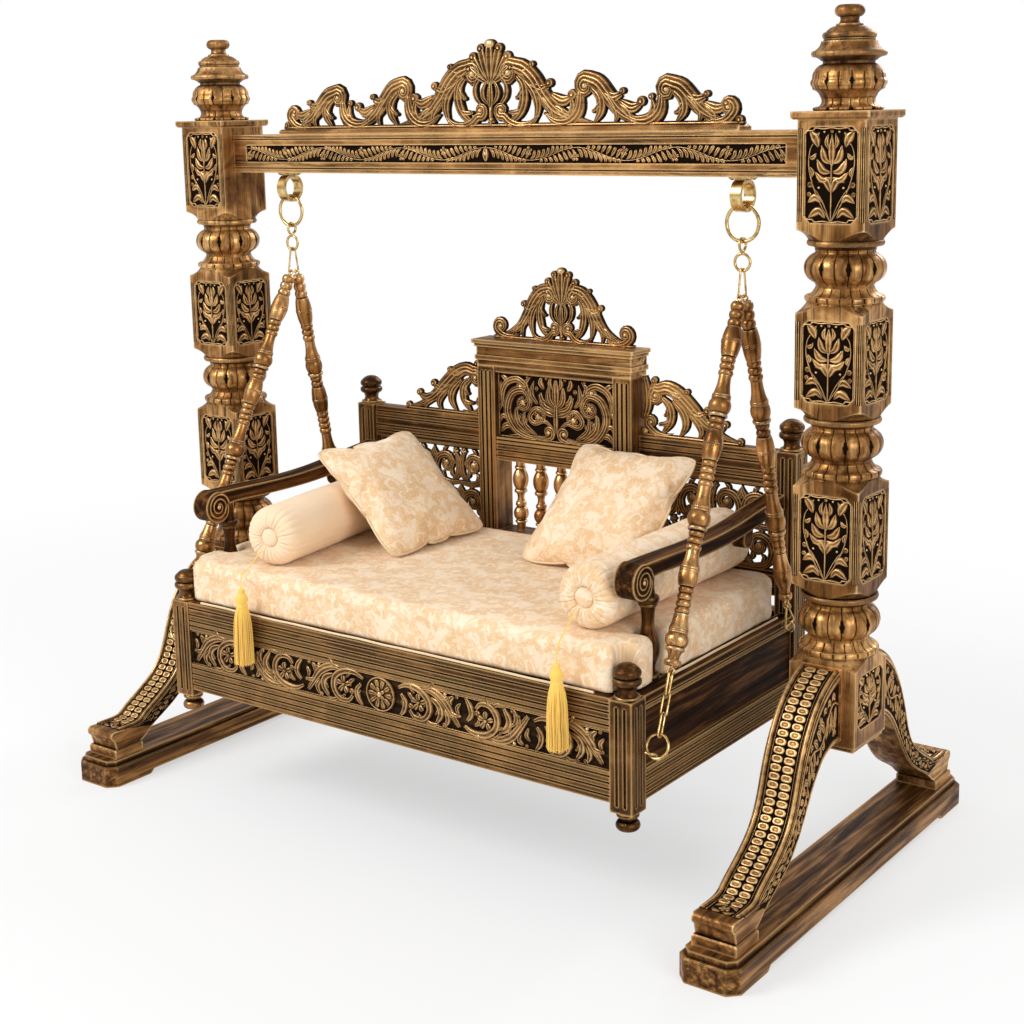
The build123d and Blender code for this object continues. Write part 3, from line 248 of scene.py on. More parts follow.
post_wood = wood("post_wood", "z", BRONZE, GOLD, SHADE_AND_STAIN, cast=0.3, worn=0.8)
beam_wood = wood("beam_wood", "x", BRONZE, GOLD, SHADE_AND_STAIN, worn=0.9)
skid_wood = wood("skid_wood", "y", SKID, OLD_GOLD, UMBER, metallic=0.45, gloss=0.36, worn=0.45,
                 cast=0.8)
rail_wood = wood("rail_wood", "x", BROWN, OLD_GOLD, SHADE_AND_STAIN, metallic=0.6, worn=0.8)
side_wood = wood("side_wood", "y", DARK_BROWN, OLD_GOLD, UMBER, metallic=0.1, gloss=0.5, worn=0.4,
                 cast=0.85, specular=0.05)
upright_wood = wood("upright_wood", "z", BROWN, OLD_GOLD, SHADE_AND_STAIN, metallic=0.6, worn=0.7)
knob_wood = wood("knob_wood", "z", BROWN, OLD_GOLD, SHADE_AND_STAIN, metallic=0.9, gloss=0.24, worn=0.5,
                 cast=0.35)
brace_wood = wood("brace_wood", "y", BRONZE, GOLD, SHADE_AND_STAIN, worn=0.6)
rod_wood = wood("rod_wood", "z", (srgb(104, 66, 32), srgb(170, 120, 68), srgb(222, 174, 118)),
                srgb(250, 222, 172), SHADE_AND_STAIN, metallic=0.88, gloss=0.22, worn=0.4, cast=0.35)
carved_gold = wood("carved_gold", "x", (srgb(104, 68, 34), srgb(156, 111, 63), srgb(196, 149, 94)),
                   GOLD, SHADE_AND_STAIN, carved=True)
# crest_gold is carved gold painted darker, as shade over the pierced crests.
crest_gold = wood("crest_gold", "x", (srgb(78, 47, 20), srgb(126, 86, 45), srgb(172, 126, 74)),
                  srgb(228, 188, 130), SHADE_AND_STAIN, gloss=0.3, carved=True, worn=0.7)
# lobed_gold is a brighter copy; its lighter tones and edge paint highlight on the turned beads.
lobed_gold = wood("lobed_gold", "z", (srgb(98, 60, 26), srgb(164, 114, 60), srgb(222, 172, 106)),
                  srgb(250, 214, 154), SHADE_AND_STAIN, gloss=0.24, carved=True, worn=0.6)
carved_brown = wood("carved_brown", "x", (srgb(72, 44, 20), srgb(122, 86, 49), srgb(174, 131, 82)),
                    srgb(228, 188, 132), SHADE_AND_STAIN, metallic=0.6, gloss=0.32, carved=True)


def metal(name, colour, dark, roughness):
    s = Shade(name)
    here = s.place()
    cloud = s.noise(here, 60.0, 4, 0.6)
    # Painted shade: occlusion darkens the crevices with the dark colour.
    hollow = s.span(s.occlusion(0.006), 0.3, 0.8)
    tone = s.mix(s.span(cloud, 0.35, 0.7), colour, dark)
    tone = s.mix(hollow, dark, tone)
    scratch = s.noise(s.stretch(here, (300.0, 300.0, 60.0)), 2.0, 2)
    rough = s.span(cloud, 0.3, 0.7, roughness, roughness + 0.12)
    return s.finish(tone, rough, s.bump(scratch, 0.1, 0.0004), metallic=1.0)


brass = metal("brass", srgb(232, 202, 140), srgb(168, 128, 64), 0.2)
steel = metal("steel", srgb(150, 140, 128), srgb(70, 60, 52), 0.38)


def cloth_normal(s, where, pitch=0.0011, depth=0.00025):
    """Over and under of a plain weave, with a little slub."""
    threads = s.stretch(where, (1 / pitch,) * 3)
    split = s.add("ShaderNodeSeparateXYZ", {0: threads})
    warp = s.math("SINE", s.math("MULTIPLY", split.outputs[0], 2 * pi))
    weft = s.math("SINE", s.math("MULTIPLY", split.outputs[1], 2 * pi))
    weave = s.math("MULTIPLY", warp, weft)
    slub = s.noise(s.stretch(where, (70.0, 700.0, 70.0)), 1.0, 2)
    return s.bump(s.math("ADD", weave, slub), 0.35, depth)


def plain_cloth(name, colour, shade):
    s = Shade(name)
    where = s.attribute("cloth").outputs["Vector"]
    cloud = s.noise(where, 14.0, 4, 0.6)
    thread = s.noise(s.stretch(where, (60.0, 900.0, 1.0)), 1.0, 3)
    tone = s.mix(s.math("MULTIPLY_ADD", cloud, 0.6, s.math("MULTIPLY", thread, 0.3)), colour, shade)
    return s.finish(tone, 0.82, cloth_normal(s, where), sheen=0.25, specular=0.3)


cotton = plain_cloth("cotton", srgb(252, 228, 196), srgb(241, 208, 168))


def petals(s, x, y, centre, radius, count, sharp, turn):
    """1 inside a flower of that many petals round centre, falling to 0 at its outline."""
    dx = s.math("SUBTRACT", x, centre[0])
    dy = s.math("SUBTRACT", y, centre[1])
    far = s.math("SQRT", s.math("ADD", s.math("MULTIPLY", dx, dx), s.math("MULTIPLY", dy, dy)))
    angle = s.math("ARCTAN2", dy, dx)
    wave = s.math("COSINE", s.math("MULTIPLY_ADD", angle, count, turn))
    edge = s.math("MULTIPLY_ADD", wave, radius * sharp, radius * (1 - sharp))
    return s.span(s.math("SUBTRACT", edge, far), -0.008, 0.014)


def damask_cloth(name, size, cream, tan):
    """Half-dropped tile of a flower, its leaves and curling stems, tan on cream."""
    s = Shade(name)
    where = s.attribute("cloth").outputs["Vector"]
    wobble = s.add("ShaderNodeTexNoise", {"Vector": where, "Scale": 26.0, "Detail": 2.0})
    shift = s.add("ShaderNodeVectorMath", {0: wobble.outputs["Color"], 1: (0.5, 0.5, 0.5)},
                  operation="SUBTRACT").outputs[0]
    shift = s.add("ShaderNodeVectorMath", {0: shift, "Scale": 0.018},
                  operation="SCALE").outputs[0]
    bent = s.add("ShaderNodeVectorMath", {0: where, 1: shift}, operation="ADD").outputs[0]
    split = s.add("ShaderNodeSeparateXYZ", {0: s.stretch(bent, (1 / size,) * 3)})
    row = s.math("FLOOR", split.outputs[1])
    across = s.math("ADD", split.outputs[0], s.math("MULTIPLY", row, 0.5))
    x = s.math("ABSOLUTE", s.math("SUBTRACT", s.math("FRACT", across), 0.5))
    y = s.math("FRACT", split.outputs[1])
    flower = petals(s, x, y, (0.0, 0.5), 0.3, 7, 0.2, 0.4)
    heart = petals(s, x, y, (0.0, 0.5), 0.13, 5, 0.3, 1.0)
    leaf = petals(s, x, y, (0.3, 0.24), 0.18, 3, 0.36, 0.7)
    leaf_high = petals(s, x, y, (0.36, 0.74), 0.17, 3, 0.36, 2.6)
    bud = petals(s, x, y, (0.5, 1.0), 0.24, 5, 0.24, 0.2)
    bud_low = petals(s, x, y, (0.5, 0.0), 0.24, 5, 0.24, 0.2)
    stem = s.math("SUBTRACT", s.math("MULTIPLY_ADD", s.math("SINE", s.math("MULTIPLY", y, 2 * pi)),
                                     0.15, 0.27), x)
    vine = s.span(s.math("ABSOLUTE", stem), 0.02, 0.045, 0.7, 0.0)
    both = s.math("MAXIMUM", s.math("MAXIMUM", leaf, leaf_high), s.math("MAXIMUM", bud, bud_low))
    both = s.math("MAXIMUM", s.math("MAXIMUM", both, flower), vine)
    both = s.math("SUBTRACT", both, s.math("MULTIPLY", heart, 0.6))
    veins = s.noise(s.stretch(bent, (1 / size,) * 3), 13.0, 3, 0.65, 2.0)
    broken = s.math("MULTIPLY", both, s.span(veins, 0.32, 0.54, 0.15, 1.0), clamp=True)
    mottle = s.span(s.noise(where, 42.0, 4, 0.65, 1.4), 0.5, 0.6)
    broken = s.math("MAXIMUM", broken, s.math("MULTIPLY", mottle, 0.7))
    cloud = s.noise(where, 9.0, 3, 0.6)
    ground = s.mix(s.span(cloud, 0.3, 0.7), cream[0], cream[1])
    figure = s.mix(s.span(cloud, 0.3, 0.7), tan[0], tan[1])
    thread = s.noise(s.stretch(where, (80.0, 1100.0, 1.0)), 1.0, 2)
    tone = s.mix(broken, ground, figure)
    tone = s.mix(s.math("MULTIPLY", thread, 0.16), tone, tan[1])
    normal = cloth_normal(s, where)
    normal = s.bump(broken, 0.25, 0.0004, under=normal)
    return s.finish(tone, s.span(broken, 0.0, 1.0, 0.7, 0.5), normal, sheen=0.2, specular=0.35)


damask = damask_cloth("damask", 0.165, (srgb(254, 234, 206), srgb(247, 222, 190)),
                      (srgb(242, 206, 160), srgb(231, 188, 136)))
welt_cloth = plain_cloth("welt_cloth", srgb(246, 222, 184), srgb(222, 188, 142))
silk = plain_cloth("silk", srgb(255, 220, 116), srgb(255, 200, 86))


# ---------------------------------------------------------------- floor and world
def studio():
    s = Shade("floor")
    seen = s.add("ShaderNodeLightPath")
    plain = s.add("ShaderNodeBsdfDiffuse", {"Color": (0.86, 0.86, 0.86, 1.0)})
    white = s.add("ShaderNodeEmission", {"Color": (1, 1, 1, 1), "Strength": 1.0})
    veil = s.math("MAXIMUM", seen.outputs["Is Camera Ray"],
                  s.math("MAXIMUM", seen.outputs["Is Glossy Ray"],
                         seen.outputs["Is Transmission Ray"]))
    away = s.add("ShaderNodeVectorMath", {0: s.place()}, operation="LENGTH").outputs["Value"]
    mixed = s.add("ShaderNodeMixShader",
                  {0: s.math("MULTIPLY", veil, s.span(away, 1.6, 4.5, 0.56, 1.0))})
    s.tree.links.new(plain.outputs[0], mixed.inputs[1])
    s.tree.links.new(white.outputs[0], mixed.inputs[2])
    out = s.add("ShaderNodeOutputMaterial")
    s.tree.links.new(mixed.outputs[0], out.inputs[0])
    mesh = bpy.data.meshes.new("floor")
    far = 14.0
    mesh.from_pydata([(-far, -far, 0), (far, -far, 0), (far, far, 0), (-far, far, 0)], [],
                     [(0, 1, 2, 3)])
    floor = bpy.data.objects.new("floor", mesh)
    floor.location = (0, 0, -0.0005)
    mesh.materials.append(s.material)
    scene.collection.objects.link(floor)

    world = bpy.data.worlds.new("studio")
    world.use_nodes = True
    scene.world = world
    tree = world.node_tree
    tree.nodes.clear()
    light_path = tree.nodes.new("ShaderNodeLightPath")
    glow = tree.nodes.new("ShaderNodeBackground")
    glow.inputs["Color"].default_value = (1, 1, 1, 1)
    glow.inputs["Strength"].default_value = 0.62
    clear = tree.nodes.new("ShaderNodeBackground")
    clear.inputs["Color"].default_value = (1, 1, 1, 1)
    clear.inputs["Strength"].default_value = 1.0
    pick = tree.nodes.new("ShaderNodeMixShader")
    out = tree.nodes.new("ShaderNodeOutputWorld")
    tree.links.new(light_path.outputs["Is Camera Ray"], pick.inputs[0])
    tree.links.new(glow.outputs[0], pick.inputs[1])
    tree.links.new(clear.outputs[0], pick.inputs[2])
    tree.links.new(pick.outputs[0], out.inputs[0])


studio()


# ---------------------------------------------------------------- finishes of the CAD nodes
def dress(material, *names):
    for name in names:
        mesh = nodes[name].data
        mesh.materials.clear()
        mesh.materials.append(material)
        for face in mesh.polygons:
            face.material_index = 0


dress(post_wood, "post_right", "post_left", "finials", "cap_plates")
dress(beam_wood, "beam", "crest_base", "back_cornice")
dress(skid_wood, "skid_right", "skid_left")
dress(brace_wood, "brace_front_right", "brace_front_left", "brace_rear_right", "brace_rear_left")
dress(rail_wood, "front_rails", "front_panel", "rear_rail", "back_rails", "back_panel")
dress(side_wood, "side_rails", "side_panel_right", "side_panel_left", "seat_slats", "arm_right",
      "arm_left")
dress(upright_wood, "corner_post_front_right", "corner_post_front_left",
      "corner_post_rear_right", "corner_post_rear_left", "back_stiles")
dress(knob_wood, "corner_knobs", "corner_feet", "arm_supports")
dress(rod_wood, "rod_front_right", "rod_front_left", "rod_rear_right", "rod_rear_left",
      "back_spindles")
dress(brass, "brackets", "big_ring_right", "big_ring_left", "hooks_right", "hooks_left", "rod_eyes_right",
      "rod_eyes_left", "chains_right", "chains_left", "seat_eyes")
dress(steel, "frame_fasteners")
dress(crest_gold, "crest_carving", "centre_crest", "side_crests", "fret_panels")
dress(damask, "mattress", "cushion_right", "cushion_left", "bolster_right")
dress(cotton, "bolster_left")
dress(silk, "tassels", "tassel_cords")


# ---------------------------------------------------------------- carving kit
def smooth_path(points, count):
    """count even steps along a smooth line through the points."""
    p = np.array(points, float)
    if len(p) == 2:
        p = np.array([p[0], (p[0] + p[1]) / 2, p[1]])
    p = np.vstack([2 * p[0] - p[1], p, 2 * p[-1] - p[-2]])
    t = np.linspace(0, 1, 10)[:-1, None]
    runs = []
    for a, b, c, d in zip(p[:-3], p[1:-2], p[2:-1], p[3:]):
        runs.append(0.5 * (2 * b + (c - a) * t + (2 * a - 5 * b + 4 * c - d) * t ** 2
                           + (3 * b - a - 3 * c + d) * t ** 3))
    line = np.vstack(runs + [p[-2:-1]])
    far = np.concatenate([[0], np.cumsum(np.hypot(*np.diff(line[:, :2], axis=0).T))])
    even = np.linspace(0, far[-1], count)
    return np.column_stack([np.interp(even, far, line[:, k]) for k in range(line.shape[1])])


def path_length(points):
    p = np.array(points, float)
    return float(np.hypot(*np.diff(p, axis=0).T).sum())


def on_plane(origin, across, up):
    """Places (across, up, out) in mm on a flat face; out is across x up."""
    across = np.array(across, float)
    up = np.array(up, float)
    out = np.cross(across, up)
    origin = np.array(origin, float)

    def place(p):
        return (origin + p[:, :1] * across + p[:, 1:2] * up + p[:, 2:3] * out) * MM
    return place


class Carving:
    """The surfaces of one carved piece, with each point's painted light tone: highlight on crests, shade
    in valleys and grounds.

    half_thick is 0 for a relief on a ground, or half the solid core of a pierced board,
    which is carved alike on both faces."""

    def __init__(self, place, half_thick=0.0):
        self.place = place
        self.half_thick = half_thick
        self.points = []
        self.light_tones = []
        self.faces = []
        self.count = 0

    def surface(self, grid, light_tone):
        """Adds a grid of rows x columns x (across, up, out)."""
        rows, columns = grid.shape[:2]
        index = np.arange(rows * columns).reshape(rows, columns) + self.count
        self.points.append(self.place(grid.reshape(-1, 3)))
        self.light_tones.append(np.broadcast_to(light_tone, (rows, columns)).reshape(-1))
        quads = np.stack([index[:-1, :-1], index[1:, :-1], index[1:, 1:], index[:-1, 1:]], -1)
        self.faces += quads.reshape(-1, 4).tolist()
        self.count += rows * columns

    def frond(self, points, width, height, ridges=2, start=0.3, end=0.0, peak=0.45, base=0.0,
              bright=1.0):
        """A ribbed leaf or stem along points, widest at its peak share."""
        length = path_length(points)
        count = int(min(44, max(9, length / max(2.2, width * 0.22))))
        line = smooth_path(points, count)
        step = np.gradient(line, axis=0)
        step /= np.maximum(np.hypot(step[:, 0], step[:, 1]), 1e-6)[:, None]
        left = np.column_stack([-step[:, 1], step[:, 0]])
        t = np.linspace(0, 1, count)
        rise = np.where(t < peak, start + (1 - start) * np.sin(pi / 2 * t / max(peak, 1e-6)),
                        end + (1 - end) * np.cos(pi / 2 * (t - peak) / max(1 - peak, 1e-6)))
        u = np.linspace(-1, 1, 4 * ridges + 1)
        rib = 0.5 - 0.5 * np.cos(pi * ridges * (u + 1))
        dome = 1 - np.abs(u) ** 3.4
        out = (0.3 + 0.7 * rise)[:, None] * (dome * (0.62 + 0.38 * rib))[None, :] * height
        # Painted light: rib crests are painted as highlight, valleys and the leaf's sides as shade.
        light_tone = np.broadcast_to(np.minimum(1, dome * 1.35) * (0.28 + 0.72 * rib) * bright, out.shape)
        core = self.half_thick
        flat = line[:, None, :] + (rise * width / 2)[:, None, None] * u[None, :, None] \
            * left[:, None, :]
        front = np.concatenate([flat, (core + base + out)[:, :, None]], axis=2)
        if not core:
            tip = front[[0, -1]].copy()
            tip[:, :, :2] = line[[0, -1]][:, None, :]
            tip[:, :, 2] = base
            front = np.concatenate([tip[:1], front, tip[1:]])
            light_tone = np.concatenate([light_tone[:1] * 0, light_tone, light_tone[-1:] * 0])
            self.surface(front, light_tone)
            return
        rear = front[:, ::-1].copy()
        rear[:, :, 2] *= -1
        ring = np.concatenate([front, rear, front[:, :1]], axis=1)
        glow = np.concatenate([light_tone, light_tone[:, ::-1], light_tone[:, :1]], axis=1)
        tip = ring[[0, -1]].copy()
        tip[:, :, :2] = line[[0, -1]][:, None, :]
        tip[:, :, 2] = 0
        self.surface(np.concatenate([tip[:1], ring, tip[1:]]),
                     np.concatenate([glow[:1], glow, glow[-1:]]))

    def boss(self, centre, radius, height, petals=0, base=0.0, bright=1.0, oval=1.0, hollow=0.0):
        """A round knob or a flower with that many petals."""
        rho = np.array([1.0, 0.99, 0.9, 0.75, 0.55, 0.35, 0.15, 0.0])
        angle = np.linspace(0, -2 * pi, max(17, petals * 6 + 1))
        wave = 0.5 + 0.5 * np.cos(petals * angle) if petals else np.ones_like(angle)
        reach = radius * (1 - 0.2 * (1 - wave))
        grid = np.zeros((len(rho), len(angle), 3))
        grid[:, :, 0] = centre[0] + rho[:, None] * (reach * np.cos(angle))[None, :]
        grid[:, :, 1] = centre[1] + rho[:, None] * (reach * np.sin(angle) * oval)[None, :]
        swell = np.sqrt(np.clip(1 - rho ** 2, 0, 1))
        swell = np.where(rho < 0.45, swell - hollow * (1 - rho / 0.45), swell)
        cut = 1 - 0.6 * (1 - wave)[None, :] * np.clip(rho * 1.6, 0, 1)[:, None]
        out = height * swell[:, None] * cut
        # Painted light: highlight on the crown, painted shade at the foot, between petals and in a ring
        # round a hollow centre.
        light_tone = np.clip(swell * 1.5, 0, 1)[:, None] * cut * bright
        if hollow:
            light_tone = light_tone * np.where(np.abs(rho - 0.45) < 0.12, 0.35, 1.0)[:, None]
        core = self.half_thick
        grid[:, :, 2] = core + base + out
        self.surface(grid, light_tone)
        if core:
            rear = grid[:, ::-1].copy()
            rear[:, :, 2] *= -1
            self.surface(rear, light_tone[:, ::-1])
            wall = np.stack([rear[0, ::-1], grid[0]])
            self.surface(wall, np.zeros((2, len(angle))))

    def stud(self, centre, half_x, half_y, height):
        """A square stud with softened corners and a shallow dimple."""
        rho = np.array([1.0, 0.99, 0.93, 0.8, 0.6, 0.42, 0.25, 0.0])
        rise = np.array([0.0, 0.45, 0.85, 1.0, 1.0, 0.72, 0.8, 0.82])
        # Painted light: the rim is painted as highlight, the foot and dimple darker as shade.
        glow = np.array([0.0, 0.3, 0.9, 1.0, 0.95, 0.45, 0.7, 0.8])
        angle = np.linspace(0, -2 * pi, 21)
        c, s = np.cos(angle), np.sin(angle)
        reach = (np.abs(c) ** 3.2 + np.abs(s) ** 3.2) ** (-1 / 3.2)
        grid = np.zeros((len(rho), len(angle), 3))
        grid[:, :, 0] = centre[0] + half_x * rho[:, None] * (reach * c)[None, :]
        grid[:, :, 1] = centre[1] + half_y * rho[:, None] * (reach * s)[None, :]
        grid[:, :, 2] = 0.4 + height * rise[:, None]
        self.surface(grid, glow[:, None])

    def scroll(self, points, centre, turns, width, height, ridges=3, start=0.0, end=0.4,
               peak=0.5, knob=0.42, **more):
        """A frond whose end winds round centre, clockwise where turns is negative."""
        last = points[-1]
        radius = hypot(last[0] - centre[0], last[1] - centre[1])
        angle = atan2(last[1] - centre[1], last[0] - centre[0])
        steps = max(3, int(9 * abs(turns)))
        coil = []
        for k in range(1, steps + 1):
            r = radius * (1 - 0.62 * k / steps)
            a = angle + 2 * pi * turns * k / steps
            coil.append((centre[0] + r * cos(a), centre[1] + r * sin(a)))
        self.frond(list(points) + coil, width, height, ridges, start, end, peak, **more)
        self.boss(centre, radius * knob, height * 1.05, base=more.get("base", 0.0))

    def acanthus(self, spine, width, height, lobes, side, ridges=3, reach=1.0, **more):
        """A broad fluted leaf whose lobes peel off to its left (side 1) or right and curl."""
        self.frond(spine, width, height, ridges, **more)
        line = smooth_path(spine, 60)
        for k in range(lobes):
            spot = int(59 * (k + 0.75) / (lobes + 0.4))
            step = line[min(spot + 2, 59)] - line[max(spot - 2, 0)]
            step /= max(hypot(*step), 1e-6)
            out = np.array([-step[1], step[0]]) * side
            here = line[spot]
            long = width * reach
            tip = here + out * (width * 0.34 + long * 0.34) + step * long * 0.42
            self.frond([here - step * long * 0.55, here + out * width * 0.22, tip], width * 0.5,
                       height * 0.92, 2, start=0.5, end=0.5, peak=0.6)
            self.boss(tip, width * 0.19, height, hollow=0.25)

    def ground(self, outline, out=0.25, light_tone=0.0):
        """The flat bottom of a recess, painted in the darkest shade unless its light tone is more than 0.
        """
        ring = np.array(list(outline) + [outline[0]], float)
        middle = ring[:-1].mean(axis=0)
        grid = np.zeros((2, len(ring), 3))
        grid[0, :, :2] = ring
        grid[1, :, :2] = middle
        grid[:, :, 2] = out
        self.surface(grid[::-1], np.full((2, len(ring)), light_tone))

    def piece(self, name, material, body, slot):
        mesh = bpy.data.meshes.new(name)
        points = np.concatenate(self.points)
        mesh.from_pydata(points.tolist(), [], self.faces)
        light_tone = mesh.attributes.new("light_tone", "FLOAT", "POINT")
        light_tone.data.foreach_set("value", np.concatenate(self.light_tones).astype(np.float32))
        mesh.polygons.foreach_set("use_smooth", [True] * len(mesh.polygons))
        mesh.materials.append(material)
        made = bpy.data.objects.new(name, mesh)
        scene.collection.objects.link(made)
        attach(made, body)
        return made


class Twin:
    """Draws every stroke twice, mirrored about across = 0, scaled and shifted."""

    def __init__(self, carving, scale_x=1.0, scale_z=1.0, shift=(0.0, 0.0), sides=(1, -1)):
        self.carving = carving
        self.scale = (scale_x, scale_z)
        self.shift = shift
        self.sides = sides

    def at(self, point, side):
        return (side * (self.shift[0] + point[0] * self.scale[0]),
                self.shift[1] + point[1] * self.scale[1])

    def frond(self, points, *args, **more):
        for side in self.sides:
            self.carving.frond([self.at(p, side) for p in points], *args, **more)

    def boss(self, centre, *args, **more):
        for side in self.sides:
            self.carving.boss(self.at(centre, side), *args, **more)

    def scroll(self, points, centre, turns, *args, **more):
        for side in self.sides:
            self.carving.scroll([self.at(p, side) for p in points], self.at(centre, side),
                                turns * side, *args, **more)

    def acanthus(self, spine, width, height, lobes, turn, **more):
        for side in self.sides:
            self.carving.acanthus([self.at(p, side) for p in spine], width, height, lobes,
                                  turn * side, **more)


# ---------------------------------------------------------------- pierced crests
def palmette(c, root, height, spread, thick):
    """Fanned flutes on a short neck, the tallest in the middle, with curled-over tips."""
    x, z = root
    twin = Twin(c, shift=(x, z))
    c.frond([(x, z), (x, z + height * 0.5), (x, z + height * 0.97)], spread * 0.5, thick, 2,
            start=0.3, end=0.75, peak=0.85)
    for wide, tall, thin in ((0.44, 0.9, 0.46), (0.84, 0.7, 0.42), (1.02, 0.42, 0.34)):
        tip = (spread * wide, height * tall)
        twin.frond([(2, 4), (tip[0] * 0.5, tip[1] * 0.42), tip], spread * thin, thick * 0.95, 2,
                   start=0.25, end=0.75, peak=0.85)
        twin.boss(tip, spread * 0.2, thick, hollow=0.2)
    c.boss((x, z + height), spread * 0.28, thick, oval=0.7)


def crest_heart(c, scale_x=1.0, scale_z=1.0, outer=True):
    """The middle of a crest: palmette, bud and the pair of great scrolls."""
    t = Twin(c, scale_x, scale_z)
    k = (scale_x + scale_z) / 2
    t.scroll([(322, 8), (262, 18), (206, 40), (168, 76), (138, 118), (104, 146), (74, 154)],
             (58, 136), 1.2, 50 * k, 10, ridges=4, peak=0.5, end=0.42)
    t.acanthus([(84, 128), (104, 104), (106, 66), (90, 32), (56, 8)], 34 * k, 9, 2, -1,
               start=0.5, end=0.3)
    t.frond([(104, 122), (138, 88), (150, 50), (138, 8)], 32 * k, 9, 3, start=0.4, end=0.2)
    t.frond([(144, 90), (178, 62), (196, 32), (192, 4)], 30 * k, 8.5, 3, start=0.4, end=0.2)
    t.frond([(196, 52), (224, 34), (238, 4)], 24 * k, 8, 2, start=0.4, end=0.2)
    t.scroll([(152, 30), (126, 8), (92, 2), (62, 10), (42, 26)], (34, 42), -1.1, 28 * k, 9,
             ridges=3, start=0.3)
    t.frond([(26, 52), (48, 76), (50, 104), (32, 128)], 18 * k, 8, 2, start=0.4, end=0.5)
    t.frond([(4, 56), (22, 74), (24, 96), (12, 118)], 17 * k, 9, 2, start=0.3, end=0.3)
    for end, knob in (((132, 156), 9), ((186, 108), 12), ((256, 78), 14)):
        if outer or end[0] < 250:
            t.frond([(end[0] - 66, end[1] + 2), (end[0] - 30, end[1] - 16),
                     (end[0] - 4, end[1] - 8)], 32 * k, 9.5, 3, start=0.4, end=0.5, peak=0.6)
            t.boss(end, knob * k, 10, hollow=0.3)
    c.frond([(0, 44 * scale_z), (0, 78 * scale_z), (0, 118 * scale_z)], 24 * k, 10.5, 3, start=0.3,
            end=0.2)
    c.boss((0, 12 * scale_z), 15 * k, 9, petals=5)
    c.frond([(0, 16 * scale_z), (0, 52 * scale_z)], 16 * k, 8, 1, start=0.8, end=0.6)
    palmette(c, (0, 106 * scale_z), 104 * scale_z, 66 * k, 10)


def beam_crest():
    c = Carving(on_plane((0, 0, 1826), (1, 0, 0), (0, 0, 1)), half_thick=4.0)
    crest_heart(c)
    t = Twin(c)
    for shift, high, reach in ((0, 1.0, 1.0), (236, 0.86, 0.92)):
        s = Twin(c, 1.0, high, (shift, 0))
        s.frond([(168, 34), (208, 12), (246, 14), (274, 42), (280, 88)], 42, 9.5, 4, start=0.15,
                end=0.5, peak=0.6)
        s.scroll([(290 + 196 * reach, 8), (432, 16), (392, 40), (360, 76), (334, 104), (308, 114)],
                 (294, 98), 1.2, 46, 10, ridges=4, end=0.42, peak=0.5)
        s.acanthus([(312, 96), (338, 70), (340, 36), (318, 4)], 32, 9, 1, -1, start=0.5, end=0.2)
        s.frond([(346, 86), (376, 56), (388, 28), (380, 4)], 30, 8.5, 3, start=0.4, end=0.2)
        s.frond([(394, 52), (420, 30), (428, 4)], 24, 8, 2, start=0.4, end=0.2)
        s.frond([(236, 12), (256, 42), (252, 74)], 24, 8, 2, start=0.4, end=0.3)
        s.boss((250, 80), 9, 8, hollow=0.25)
        for end, knob in (((404, 84), 9), ((458, 58), 13)):
            s.frond([(end[0] - 62, end[1] + 2), (end[0] - 28, end[1] - 16),
                     (end[0] - 4, end[1] - 8)], 30, 9.5, 3, start=0.4, end=0.5, peak=0.6)
            s.boss(end, knob, 10, hollow=0.3)
        s.frond([(196, 12), (226, 3), (262, 3)], 16, 6, 2)
    t.scroll([(636, 14), (664, 5), (692, 10), (712, 28)], (698, 40), 1.1, 30, 9, ridges=3,
             start=0.3)
    t.boss((728, 11), 11, 9, hollow=0.2)
    c.frond([(-738, 4.5), (0, 4.5), (738, 4.5)], 11, 7, 1, start=1, end=1)
    made = c.piece("crest_scrolls", crest_gold, body_of_node["crest_carving"], "gilded_wood")
    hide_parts("crest_carving")


